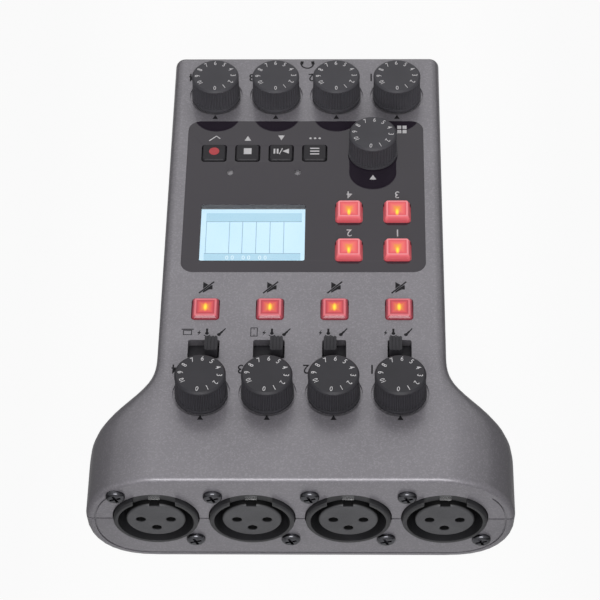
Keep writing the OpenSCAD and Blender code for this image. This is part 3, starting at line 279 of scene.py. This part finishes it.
def paneFinish(name):
    material, tree = emptyMaterial(name)
    smear = addNode(tree, "ShaderNodeTexNoise", {"Scale": 1 / (pane["smearMm"] * mm), "Detail": 1.0})
    gloss = addNode(tree, "ShaderNodeMapRange", {"To Max": pane["haze"]}, {"Value": smear.outputs["Fac"]})
    clear = addNode(tree, "ShaderNodeBsdfPrincipled",
                    {"Base Color": linear(pane["clear"]), "IOR": 1.49, "Transmission Weight": 1.0},
                    {"Roughness": gloss.outputs["Result"]})
    grain = addNode(tree, "ShaderNodeTexNoise", {"Scale": 1 / (pane["rimGrainMm"] * mm), "Detail": 2.0})
    rimTone = addNode(tree, "ShaderNodeMix",
                      {"data_type": "RGBA", 6: linear(pane["rim"][0]), 7: linear(pane["rim"][1])},
                      {0: grain.outputs["Fac"]})
    painted = addNode(tree, "ShaderNodeBsdfPrincipled", {"Roughness": 0.6, "IOR": 1.4},
                      {"Base Color": rimTone.outputs[2]})
    face = addNode(tree, "ShaderNodeVectorMath", {"operation": "DOT_PRODUCT", 1: deckUp},
                   {0: addNode(tree, "ShaderNodeNewGeometry").outputs["True Normal"]})
    level = addNode(tree, "ShaderNodeMath", {"operation": "ABSOLUTE"}, {0: face.outputs["Value"]})
    upward = addNode(tree, "ShaderNodeMath", {"operation": "GREATER_THAN", 1: pane["flatCosine"]},
                     {0: level.outputs["Value"]})
    both = addNode(tree, "ShaderNodeMixShader", {},
                   {0: upward.outputs["Value"], 1: painted.outputs["BSDF"], 2: clear.outputs["BSDF"]})
    addNode(tree, "ShaderNodeOutputMaterial", {}, {"Surface": both.outputs["Shader"]})
    return material


# backlit liquid crystal: pale blue glow, slightly cloudy over cloudMm
def litDisplayFinish(name, bright, dim, strength=1.0, cloudMm=14):
    material, tree = emptyMaterial(name)
    where = addNode(tree, "ShaderNodeTexCoord").outputs["Object"]
    cloud = addNode(tree, "ShaderNodeTexNoise", {"Scale": 1 / (cloudMm * mm), "Detail": 1.0},
                    {"Vector": where})
    tone = addNode(tree, "ShaderNodeMix", {"data_type": "RGBA", 6: linear(dim), 7: linear(bright)},
                   {0: cloud.outputs["Fac"]})
    skin = addNode(tree, "ShaderNodeBsdfPrincipled",
                   {"Base Color": linear("#26343c"), "IOR": 1.3, "Roughness": 0.35,
                    "Emission Strength": strength}, {"Emission Color": tone.outputs[2]})
    addNode(tree, "ShaderNodeOutputMaterial", {}, {"Surface": skin.outputs["BSDF"]})
    return material


# the two kinds of lit button: tones by the distance from the middle, in mm
# the pale tones near 2.6 to 2.95 mm are the bevel's leaking light together with a painted highlight
muteGlow = dict(strength=0.32, flameY=0.0,
                tones=((0.0, "#e8963a"), (0.6, "#e8923a"), (1.15, "#e66a48"), (1.7, "#da4e54"),
                       (2.05, "#c83e4a"), (2.3, "#b4333f"), (2.6, "#e07680"), (2.9, "#d4646e"),
                       (3.2, "#9c3e4a"), (4.0, "#84343f")))
padGlow = dict(strength=0.42, flameY=-1.2,
               tones=((0.0, "#e8963a"), (0.6, "#e8923a"), (1.15, "#ec7460"), (1.7, "#ea6464"),
                      (2.15, "#e0565c"), (2.4, "#cf4a54"), (2.65, "#f09096"), (2.95, "#e2727a"),
                      (3.3, "#cc5860"), (4.0, "#b84c56")))
# which finish each node of the model takes; knobs, switches and lit buttons come in rows of four
rowNumbers = range(1, len(deck["columns"]) + 1)
nodeFinish = dict(upper_case=casePaint, lower_case=lowerPaint, battery_door=lowerPaint,
                  display_panel=glossPanel, display_window=paneFinish("clear_acrylic"),
                  lcd_module=litDisplayFinish("backlit_display_glass", "#d2f0ff", "#c4e8fb"),
                  control_board=boardResist, input_board=boardResist, xlr_shells=shellPlastic,
                  xlr_inserts=insertPlastic, xlr_contacts=contactMetal, xlr_springs=springSteel,
                  xlr_screws=blackScrew, potentiometers=tinnedSteel, slide_switches=portSteel,
                  tact_switches=switchPlastic, button_leds=switchPlastic, status_lights=lightPipe,
                  audio_jacks=jackPlastic, usb_ports=portSteel, card_reader=portSteel,
                  battery_cells=cellJacket, battery_contacts=springSteel, rubber_feet=footRubber,
                  case_screws=blackScrew, power_slider=nubPlastic, record_button=keyRubber,
                  stop_button=keyRubber, play_button=keyRubber, menu_button=keyRubber,
                  pad_knob=paintedLightKnob, pad_shaft=tinnedSteel)
for k in rowNumbers:
    nodeFinish.update({f"gain_knob_{k}": knobPlastic, f"phones_knob_{k}": paintedLightKnob,
                       f"gain_shaft_{k}": tinnedSteel, f"phones_shaft_{k}": tinnedSteel,
                       f"input_switch_{k}": nubPlastic})
    crown = deckPoint(deck["columns"][k - 1], deck["muteY"], deck["muteHeight"])
    nodeFinish[f"mute_button_{k}"] = litButtonFinish(f"lit_polycarbonate_mute_{k}", crown, **muteGlow)
    crown = deckPoint(deck["padX"][(k - 1) % 2], deck["padY"][(k - 1) // 2], deck["padHeight"])
    nodeFinish[f"pad_button_{k}"] = litButtonFinish(f"lit_polycarbonate_pad_{k}", crown, **padGlow)
for name, node in nodes.items():
    node.data.materials.clear()
    node.data.materials.append(nodeFinish[name])
print("finishes given to", len(nodeFinish), "nodes")

# edge softening of the moulded and turned nodes, widths in mm
softEdges = dict(upper_case=0.25, lower_case=0.1, display_panel=0.2, battery_door=0.3, xlr_shells=0.15,
                 xlr_inserts=0.12, xlr_screws=0.08, audio_jacks=0.2, usb_ports=0.06, power_slider=0.25,
                 pad_knob=0.14, rubber_feet=0.4, display_window=0.05)
for k in rowNumbers:
    softEdges.update({f"gain_knob_{k}": 0.14, f"phones_knob_{k}": 0.14, f"input_switch_{k}": 0.18,
                      f"mute_button_{k}": 0.35, f"pad_button_{k}": 0.35})
for key in ("record", "stop", "play", "menu"):
    softEdges[f"{key}_button"] = 0.16
softening = dict(seam=0.001, segments=3, angle=32, weight=60)


def softenNode(node, width):
    weld = node.modifiers.new("closeSeams", "WELD")
    weld.merge_threshold = softening["seam"] * mm
    if width:
        bevel = node.modifiers.new("softEdges", "BEVEL")
        bevel.width = width * mm
        bevel.segments = softening["segments"]
        bevel.limit_method = "ANGLE"
        bevel.angle_limit = math.radians(softening["angle"])
        bevel.harden_normals = False
        bevel.use_clamp_overlap = True
    normals = node.modifiers.new("evenShading", "WEIGHTED_NORMAL")
    normals.keep_sharp = True
    normals.weight = softening["weight"]


for name, node in nodes.items():
    node.data.shade_smooth()
    softenNode(node, softEdges.get(name, 0))
print("edges softened on", len(softEdges), "nodes")


# turns a drawn shape into a closed piece that rides on a body
def newPiece(name, shape, finish, body):
    bmesh.ops.recalc_face_normals(shape, faces=shape.faces)
    mesh = bpy.data.meshes.new(name)
    shape.to_mesh(mesh)
    shape.free()
    mesh.materials.append(finish)
    piece = bpy.data.objects.new(name, mesh)
    scene.collection.objects.link(piece)
    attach(piece, body)


# printed marks are closed films: flat outlines in mm, raised by film and sunk a little into what carries them
def filmPiece(name, outlines, toWorld, finish, body, film=0.03, sink=0.01):
    shape = bmesh.new()
    for outline in outlines:
        top = [shape.verts.new(toWorld(u, v, film)) for u, v in outline]
        foot = [shape.verts.new(toWorld(u, v, -sink)) for u, v in outline]
        count = len(outline)
        shape.faces.new(top)
        shape.faces.new(foot[::-1])
        for i in range(count):
            j = (i + 1) % count
            shape.faces.new((foot[i], foot[j], top[j], top[i]))
    newPiece(name, shape, finish, body)


glyph = dict(steps=3, offset=0.003)
glyphStore = {}


# points and faces of a figure, centred, with a height of 1
def glyphFaces(figure):
    if figure not in glyphStore:
        curve = bpy.data.curves.new("figure", "FONT")
        curve.body = figure
        curve.resolution_u = glyph["steps"]
        curve.offset = glyph["offset"]
        holder = bpy.data.objects.new("figure", curve)
        scene.collection.objects.link(holder)
        bpy.context.view_layer.update()
        drawn = holder.evaluated_get(bpy.context.evaluated_depsgraph_get())
        mesh = bpy.data.meshes.new_from_object(drawn)
        points = [v.co.copy() for v in mesh.vertices]
        faces = [tuple(p.vertices) for p in mesh.polygons]
        bpy.data.objects.remove(holder)
        bpy.data.curves.remove(curve)
        bpy.data.meshes.remove(mesh)
        xs, ys = [p.x for p in points], [p.y for p in points]
        tall = max(ys) - min(ys)
        midX, midY = (max(xs) + min(xs)) / 2, (max(ys) + min(ys)) / 2
        glyphStore[figure] = [((p.x - midX) / tall, (p.y - midY) / tall) for p in points], faces
    return glyphStore[figure]


# several figures as one closed film; places holds (figure, size, toWorld)
def figurePiece(name, places, finish, body, film=0.03, sink=0.01, narrow=0.86, seam=0.0005):
    shape = bmesh.new()
    for figure, size, toWorld in places:
        points, faces = glyphFaces(figure)
        verts = [shape.verts.new(toWorld(u * size * narrow, v * size, film)) for u, v in points]
        made = [shape.faces.new([verts[i] for i in face]) for face in faces]
        grown = bmesh.ops.extrude_face_region(shape, geom=made)
        moved = [e for e in grown["geom"] if isinstance(e, bmesh.types.BMVert)]
        drop = toWorld(0, 0, -sink) - toWorld(0, 0, film)
        bmesh.ops.translate(shape, verts=moved, vec=drop)
    bmesh.ops.remove_doubles(shape, verts=shape.verts, dist=seam * mm)
    newPiece(name, shape, finish, body)


# a frame on the deck that reads from the far end: u runs against x, and v runs toward the sockets
def deckFrame(x, y, height=0.0):
    return lambda u, v, h: deckPoint(x, y, height + h, -u, -v)


# dial figures on the knob tops: angles in degrees, sizes in mm
dial = dict(figures=11, step=30.2, gainFirst=-96.4, phonesFirst=-89.5, ring=5.1, size=1.5, lastShare=0.9,
            narrow=0.8, top=8.2)


def dialFigures(name, x, y, body, first):
    places = []
    for k in range(dial["figures"]):
        angle = math.radians(first + dial["step"] * k)
        outX, outY = math.cos(angle), math.sin(angle)

        def toWorld(u, v, h, outX=outX, outY=outY):
            r = dial["ring"] + v
            return deckPoint(x, y, dial["top"] + h, outX * r + outY * u, outY * r - outX * u)

        last = k == dial["figures"] - 1
        places.append((str(k), dial["size"] * (dial["lastShare"] if last else 1.0), toWorld))
    figurePiece(name, places, whiteInk, body, narrow=dial["narrow"])


for k, x in enumerate(deck["columns"], 1):
    dialFigures(f"gain_dial_{k}", x, deck["gainY"], f"gain_knob_{k}", dial["gainFirst"])
    dialFigures(f"phones_dial_{k}", x, deck["phonesY"], f"phones_knob_{k}", dial["phonesFirst"])
dialFigures("pad_dial", *deck["padKnob"], "pad_knob", dial["gainFirst"])
print("dial figures printed")


def arc(cx, cy, r, start, end, steps):
    turns = [math.radians(start + (end - start) * i / steps) for i in range(steps + 1)]
    return [(cx + r * math.cos(t), cy + r * math.sin(t)) for t in turns]


def disc(cx, cy, r, corners=12):
    return arc(cx, cy, r, 0, 360 - 360 / corners, corners - 1)


def cell(u0, v0, u1, v1):
    return [(u0, v0), (u1, v0), (u1, v1), (u0, v1)]


def stroke(points, width):
    left, right = [], []
    for i, p in enumerate(points):
        a, b = points[max(i - 1, 0)], points[min(i + 1, len(points) - 1)]
        length = math.hypot(b[0] - a[0], b[1] - a[1])
        nx, ny = -(b[1] - a[1]) / length * width / 2, (b[0] - a[0]) / length * width / 2
        left.append((p[0] + nx, p[1] + ny))
        right.append((p[0] - nx, p[1] - ny))
    return left + right[::-1]


def shifted(outline, du, dv):
    return [(u + du, v + dv) for u, v in outline]


# keeps the part of an outline where a*u + b*v > c
def cutOff(outline, a, b, c):
    kept = []
    for i, p in enumerate(outline):
        q = outline[(i + 1) % len(outline)]
        dp, dq = a * p[0] + b * p[1] - c, a * q[0] + b * q[1] - c
        if dp >= 0:
            kept.append(p)
        if (dp >= 0) != (dq >= 0):
            t = dp / (dp - dq)
            kept.append((p[0] + (q[0] - p[0]) * t, p[1] + (q[1] - p[1]) * t))
    return kept


# outlines moved to their place on the deck and turned, in the deck's own x and y
def onDeckOutlines(outlines, x, y, turn=180.0):
    c, s = math.cos(math.radians(turn)), math.sin(math.radians(turn))
    return [[(x + u * c - v * s, y + (u * s + v * c) * math.cos(slope)) for u, v in o] for o in outlines]


def flatOnDeck(height):
    return lambda x, y, h: deckPoint(x, y, height + h)


# dark pictograms in mm, as they read from the far end
speaker = [(-1.6, -0.75), (-0.7, -0.75), (0.95, -1.95), (0.95, 1.95), (-0.7, 0.75), (-1.6, 0.75)]
muteSign = [cutOff(speaker, 1, -1, 0.45), cutOff(speaker, -1, 1, 0.45),
            stroke([(-2.0, -2.05), (2.0, 2.1)], 0.42)]
handMic = [stroke([(-1.0, -1.25), (-0.1, -0.1)], 0.34), stroke([(-0.2, -0.2), (0.42, 0.56)], 0.55),
           disc(0.68, 0.88, 0.52)]
studioMic = [disc(0, 0.35, 0.5), stroke(arc(0, 0.35, 1.0, 35, 145, 8), 0.22),
             stroke([(0, -0.1), (0, -1.3)], 0.55)]
bolt = [[(0.35, 1.0), (-0.55, -0.12), (-0.05, -0.12), (-0.4, -1.0), (0.5, 0.2), (0.02, 0.2)]]
handset = [stroke([(-0.85, -1.45), (-0.85, 1.45)], 0.2), stroke([(0.85, -1.45), (0.85, 1.45)], 0.2),
           stroke([(-0.95, -1.45), (0.95, -1.45)], 0.22), stroke([(-0.95, 1.45), (0.95, 1.45)], 0.22),
           stroke([(-0.3, 1.08), (0.3, 1.08)], 0.16), arc(0, -1.05, 0.16, 0, 330, 7)]
computer = [stroke([(-1.1, -0.55), (-1.1, 0.95)], 0.2), stroke([(1.1, -0.55), (1.1, 0.95)], 0.2),
            stroke([(-1.2, 0.95), (1.2, 0.95)], 0.2), stroke([(-1.2, -0.55), (1.2, -0.55)], 0.2),
            stroke([(-1.6, -0.95), (1.6, -0.95)], 0.3)]
headphones = [stroke(arc(0, -0.1, 1.75, 5, 175, 14), 0.42), stroke([(-1.7, 0.1), (-1.5, -1.2)], 0.9),
              stroke([(1.7, 0.1), (1.5, -1.2)], 0.9)]
pointer = [[(-0.8, -0.75), (0.8, -0.75), (0, 0.85)]]

# where they stand on the deck; handMicX, studioMicX, boltX and figureSide count from the channel's column
signs = dict(film=0.02, muteY=-12.4, inputY=-28.2, pointY=(-57.25, 52.3), figureY=(-41.0, 68.4),
             figureSide=-7.3, figure=3.1, handMicX=(4.6, 4.6, 2.4, 2.4), studioMicX=(0.7, 0.7, -1.6, -1.6),
             studioMicDown=0.1, boltX=(-1.4, -1.4, -3.7, -3.7), boltDown=0.2, computerX=-30.4, handsetX=-12.7,
             headphones=(0.1, 73.9))
darkMarks = []
channelFigures = []
for k, x in enumerate(deck["columns"]):
    darkMarks += onDeckOutlines(muteSign, x, signs["muteY"])
    darkMarks += onDeckOutlines(handMic, x + signs["handMicX"][k], signs["inputY"])
    studioY = signs["inputY"] - signs["studioMicDown"]
    darkMarks += onDeckOutlines(studioMic, x + signs["studioMicX"][k], studioY)
    darkMarks += onDeckOutlines(bolt, x + signs["boltX"][k], signs["inputY"] - signs["boltDown"])
    for y in signs["pointY"]:
        darkMarks += onDeckOutlines(pointer, x, y, turn=0)
    for y in signs["figureY"]:
        channel = str(len(deck["columns"]) - k)
        channelFigures.append((channel, signs["figure"], deckFrame(x + signs["figureSide"], y)))
darkMarks += onDeckOutlines(computer, signs["computerX"], signs["inputY"])
darkMarks += onDeckOutlines(handset, signs["handsetX"], signs["inputY"])
darkMarks += onDeckOutlines(headphones, *signs["headphones"])
filmPiece("deck_signs", darkMarks, flatOnDeck(0.0), darkInk, "case", film=signs["film"])
figurePiece("channel_figures", channelFigures, darkInk, "case", film=signs["film"])
print("deck printed")

# white signs on the gloss panel: a pointer for the pad knob, four squares beside it, signs over the keys and
# the figures of the pads
panelSigns = dict(film=0.02, pointY=28.5, squares=(27.3, 47.3), squareU=(-0.75, 0.75), squareV=(-0.85, 0.85),
                  up=(-16.35, 43.8), down=(-6.85, 44.0), tick=(-25.7, 43.8), dots=(2.7, 43.8),
                  dotU=(-1.3, 0, 1.3), dot=0.36, figure=2.6,
                  figures=((12.47, 7.47, "2"), (25.72, 7.47, "1"), (12.47, 21.82, "4"), (25.72, 21.82, "3")))
padPointer = [[(-0.95, -0.8), (0.95, -0.8), (0, 1.0)]]
arrow = [[(-0.92, -0.95), (0.92, -0.95), (0, 0.95)]]
tick = [stroke([(-1.5, 0.1), (-0.4, -0.9), (1.6, 1.0)], 0.34)]
square = cell(-0.58, -0.66, 0.58, 0.66)
squares = [shifted(square, du, dv) for du in panelSigns["squareU"] for dv in panelSigns["squareV"]]
dots = [disc(du, 0, panelSigns["dot"]) for du in panelSigns["dotU"]]
whiteMarks = onDeckOutlines(padPointer, deck["padKnob"][0], panelSigns["pointY"], turn=0)
whiteMarks += onDeckOutlines(squares, *panelSigns["squares"])
whiteMarks += onDeckOutlines(arrow, *panelSigns["up"], turn=0)
whiteMarks += onDeckOutlines(arrow, *panelSigns["down"])
whiteMarks += onDeckOutlines(tick, *panelSigns["tick"])
whiteMarks += onDeckOutlines(dots, *panelSigns["dots"])
filmPiece("panel_signs", whiteMarks, flatOnDeck(0.0), whiteInk, "case",
          film=panelSigns["film"])
padFigures = [(figure, panelSigns["figure"], deckFrame(x, y)) for x, y, figure in panelSigns["figures"]]
figurePiece("pad_figures", padFigures, whiteInk, "case", film=panelSigns["film"])

# symbols on the transport keys
keySigns = dict(y=38.25, top=0.5, x=dict(record=-25.7, stop=-16.25, play=-6.8, menu=2.65))
playSign = [[(-2.2, -1.0), (-0.35, 0), (-2.2, 1.0)], stroke([(-0.35, -1.15), (0.5, 1.15)], 0.26),
            cell(0.75, -0.95, 1.25, 0.95), cell(1.65, -0.95, 2.15, 0.95)]
menuSign = [stroke([(-1.3, v), (1.3, v)], 0.42) for v in (-1.1, 0, 1.1)]
keyMarks = dict(record=("record_dot", [disc(0, 0, 1.45, 24)], redInk),
                stop=("stop_square", [cell(-1.1, -1.15, 1.1, 1.15)], whiteInk),
                play=("play_symbol", playSign, whiteInk), menu=("menu_lines", menuSign, whiteInk))
for key, (name, outlines, ink) in keyMarks.items():
    placed = onDeckOutlines(outlines, keySigns["x"][key], keySigns["y"])
    filmPiece(name, placed, flatOnDeck(keySigns["top"]), ink, f"{key}_button")
print("panel and keys printed")

# what the display shows: two bands, the rules between level columns and a row of figures; bands, rules and
# figureUp count in mm from the edges of the display, columns and figureX from its middle
display = dict(x=-14.075, y=7.675, wide=28.85, long=20.95, depth=2.4, foot=1.2)
picture = dict(bandFilm=0.02, film=0.03, topSides=(1.2, 1.2), topBand=(4.2, 1.4), topRule=(4.4, 4.22),
               footSides=(1.0, 1.4), footBand=(1.5, 4.6), footRule=(4.62, 4.8),
               columns=(-8.6, -4.8, -1.0, 2.8, 6.4, 12.8), columnEnds=(4.7, 4.3), columnWide=0.16,
               figures="00:00:00", figure=1.5, colon=0.5, figureX=3.6, figureStep=1.5, figureUp=2.85)
paleSegments = litDisplayFinish("display_segments_pale", "#aed6e8", "#a2cfe4")
darkSegments = litDisplayFinish("display_segments_dark", "#6f9db4", "#6795ae")
brightSegments = litDisplayFinish("display_segments_bright", "#eafaff", "#e0f5ff")
screen = deckFrame(display["x"], display["y"], -display["depth"])
halfW, halfL = display["wide"] / 2, display["long"] / 2


def topCell(ends):
    left, right = picture["topSides"]
    return cell(-halfW + left, halfL - ends[0], halfW - right, halfL - ends[1])


def footCell(ends):
    left, right = picture["footSides"]
    return cell(-halfW + left, -halfL + ends[0], halfW - right, -halfL + ends[1])


bands = [topCell(picture["topBand"]), footCell(picture["footBand"])]
filmPiece("display_bands", bands, screen, paleSegments, "case", film=picture["bandFilm"])
rules = [topCell(picture["topRule"]), footCell(picture["footRule"])]
for u in picture["columns"]:
    foot, head = picture["columnEnds"]
    rules.append(cell(u, -halfL + foot, u + picture["columnWide"], halfL - head))
filmPiece("display_rules", rules, screen, darkSegments, "case", film=picture["film"])
timeFigures = []
for i, figure in enumerate(picture["figures"]):
    place = deckFrame(display["x"] + picture["figureX"] - i * picture["figureStep"],
                      display["y"] - halfL + picture["figureUp"], -display["depth"])
    timeFigures.append((figure, picture["colon"] if figure == ":" else picture["figure"], place))
figurePiece("display_figures", timeFigures, brightSegments, "case", film=picture["film"])

# soft gasket that closes the gap round the display
gasket = dict(wall=0.9, gap=0.02)
outW, outL = halfW + gasket["wall"], halfL + gasket["wall"]
gasketRing = [cell(-outW, -outL, outW, -halfL), cell(-outW, halfL, outW, outL),
              cell(-outW, -halfL, -halfW, halfL), cell(halfW, -halfL, outW, halfL)]
filmPiece("display_gasket", gasketRing, screen, gasketFoam, "case",
          film=display["depth"] - display["foot"] - gasket["gap"], sink=0.0)
print("display set")

# floor and room: white for the camera and through the pane, a plain level for the light that falls on the
# part; both throw less light from the two sides, as dark cards there would; the floor's sides are in metres,
# the room's are shares of the direction
studio = dict(reach=4.0, paper=("#dadada", "#e0e0e0"), sidePaper="#6c6c6c", pulp=60.0, white=0.95,
              floorSide=(0.045, 0.075), mirrored=(0.25, 0.02), roomSide=(0.25, 0.85), roomLevel=(1.04, 0.45),
              diffuse=0.42, glossy=1.0)


# the rays that look at the background itself, and the ones that mirror it
def backgroundRays(tree):
    rays = addNode(tree, "ShaderNodeLightPath")
    seen = addNode(tree, "ShaderNodeMath", {"operation": "MAXIMUM"},
                   {0: rays.outputs["Is Camera Ray"], 1: rays.outputs["Is Transmission Ray"]})
    return seen.outputs["Value"], rays.outputs["Is Glossy Ray"]


# goes from the first level to the second as a place or direction moves aside along X
def sideLevel(tree, coordinates, sides, levels):
    where = addNode(tree, "ShaderNodeTexCoord").outputs[coordinates]
    axes = addNode(tree, "ShaderNodeSeparateXYZ", {}, {"Vector": where})
    aside = addNode(tree, "ShaderNodeMath", {"operation": "ABSOLUTE"}, {0: axes.outputs["X"]})
    level = addNode(tree, "ShaderNodeMapRange",
                    {"From Min": sides[0], "From Max": sides[1], "To Min": levels[0], "To Max": levels[1]},
                    {"Value": aside.outputs["Value"]})
    return level.outputs["Result"]


floorMesh = bpy.data.meshes.new("floor")
reach = studio["reach"]
floorMesh.from_pydata([(x, y, 0) for x, y in cell(-reach, -reach, reach, reach)], [], [(0, 1, 2, 3)])
floor = bpy.data.objects.new("floor", floorMesh)
scene.collection.objects.link(floor)
paper, tree = emptyMaterial("white_paper_sweep")
seen, glossy = backgroundRays(tree)
mirrored = addNode(tree, "ShaderNodeMath", {"operation": "MULTIPLY"},
                   {0: glossy, 1: sideLevel(tree, "Object", studio["floorSide"], studio["mirrored"])})
either = addNode(tree, "ShaderNodeMath", {"operation": "MAXIMUM"}, {0: seen, 1: mirrored.outputs["Value"]})
share = addNode(tree, "ShaderNodeMath", {"operation": "MULTIPLY", 1: studio["white"]},
                {0: either.outputs["Value"]})
pulp = addNode(tree, "ShaderNodeTexNoise", {"Scale": studio["pulp"], "Detail": 3.0})
white = addNode(tree, "ShaderNodeMix",
                {"data_type": "RGBA", 6: linear(studio["paper"][0]), 7: linear(studio["paper"][1])},
                {0: pulp.outputs["Fac"]})
dulled = addNode(tree, "ShaderNodeMix", {"data_type": "RGBA", 7: linear(studio["sidePaper"])},
                 {0: sideLevel(tree, "Object", studio["floorSide"], (0.0, 1.0)), 6: white.outputs[2]})
matt = addNode(tree, "ShaderNodeBsdfDiffuse", {}, {"Color": dulled.outputs[2]})
bright = addNode(tree, "ShaderNodeEmission", {"Color": (1, 1, 1, 1), "Strength": 1.0})
both = addNode(tree, "ShaderNodeMixShader", {},
               {0: share.outputs["Value"], 1: matt.outputs["BSDF"], 2: bright.outputs["Emission"]})
addNode(tree, "ShaderNodeOutputMaterial", {}, {"Surface": both.outputs["Shader"]})
floorMesh.materials.append(paper)

world = bpy.data.worlds.new("studio")
scene.world = world
world.use_nodes = True
tree = world.node_tree
tree.nodes.clear()
seen, glossy = backgroundRays(tree)
kind = addNode(tree, "ShaderNodeMapRange", {"To Min": studio["diffuse"], "To Max": studio["glossy"]},
               {"Value": glossy})
dimmed = sideLevel(tree, "Generated", studio["roomSide"], studio["roomLevel"])
room = addNode(tree, "ShaderNodeMath", {"operation": "MULTIPLY"}, {0: dimmed, 1: kind.outputs["Result"]})
level = addNode(tree, "ShaderNodeMapRange", {"To Max": 1.0}, {"Value": seen, "To Min": room.outputs["Value"]})
sky = addNode(tree, "ShaderNodeBackground", {"Color": (1, 1, 1, 1)}, {"Strength": level.outputs["Result"]})
addNode(tree, "ShaderNodeOutputWorld", {}, {"Surface": sky.outputs["Background"]})

lamps = dict(back=dict(at=(0.0, 1.15, 1.15), aim=(0, 0, 0.02), size=1.3, watts=1.25),
             front=dict(at=(0.0, -0.95, 0.85), aim=(0, -0.05, 0.02), size=0.7, watts=8.0))
for name, lamp in lamps.items():
    data = bpy.data.lights.new(name, "AREA")
    data.size = lamp["size"]
    data.energy = lamp["watts"]
    holder = bpy.data.objects.new(name, data)
    holder.location = lamp["at"]
    holder.rotation_euler = (Vector(lamp["aim"]) - Vector(lamp["at"])).to_track_quat("-Z", "Y").to_euler()
    scene.collection.objects.link(holder)

# camera, placed as in the photograph: angles in degrees, distances in mm, focal and shiftY in its pixels, the
# sensor in mm and the clip in metres
shot = dict(elevation=54.93, yaw=2.22, roll=-1.79, away=759.8, target=(-1.126, caseMiddle, 20), pixels=600,
            focal=2752, shiftY=-22, sensor=36, clip=(0.01, 20))
elevation, yaw, roll = (math.radians(shot[key]) for key in ("elevation", "yaw", "roll"))
outward = math.cos(elevation)
ahead = Vector((-math.sin(yaw) * outward, math.cos(yaw) * outward, -math.sin(elevation)))
right = Vector((math.cos(yaw), math.sin(yaw), 0))
up = right.cross(ahead)
right, up = right * math.cos(roll) + up * math.sin(roll), up * math.cos(roll) - right * math.sin(roll)
lens = bpy.data.cameras.new("camera")
lens.sensor_width = shot["sensor"]
lens.lens = shot["focal"] / shot["pixels"] * shot["sensor"]
lens.shift_y = shot["shiftY"] / shot["pixels"]
lens.clip_start, lens.clip_end = shot["clip"]
camera = bpy.data.objects.new("camera", lens)
place = Matrix((right, up, -ahead)).transposed().to_4x4()
place.translation = (Vector(shot["target"]) - ahead * shot["away"]) * mm
camera.matrix_world = place
scene.collection.objects.link(camera)
scene.camera = camera
scene.view_settings.view_transform = "Standard"
print("floor, light and camera set")

bpy.context.view_layer.update()
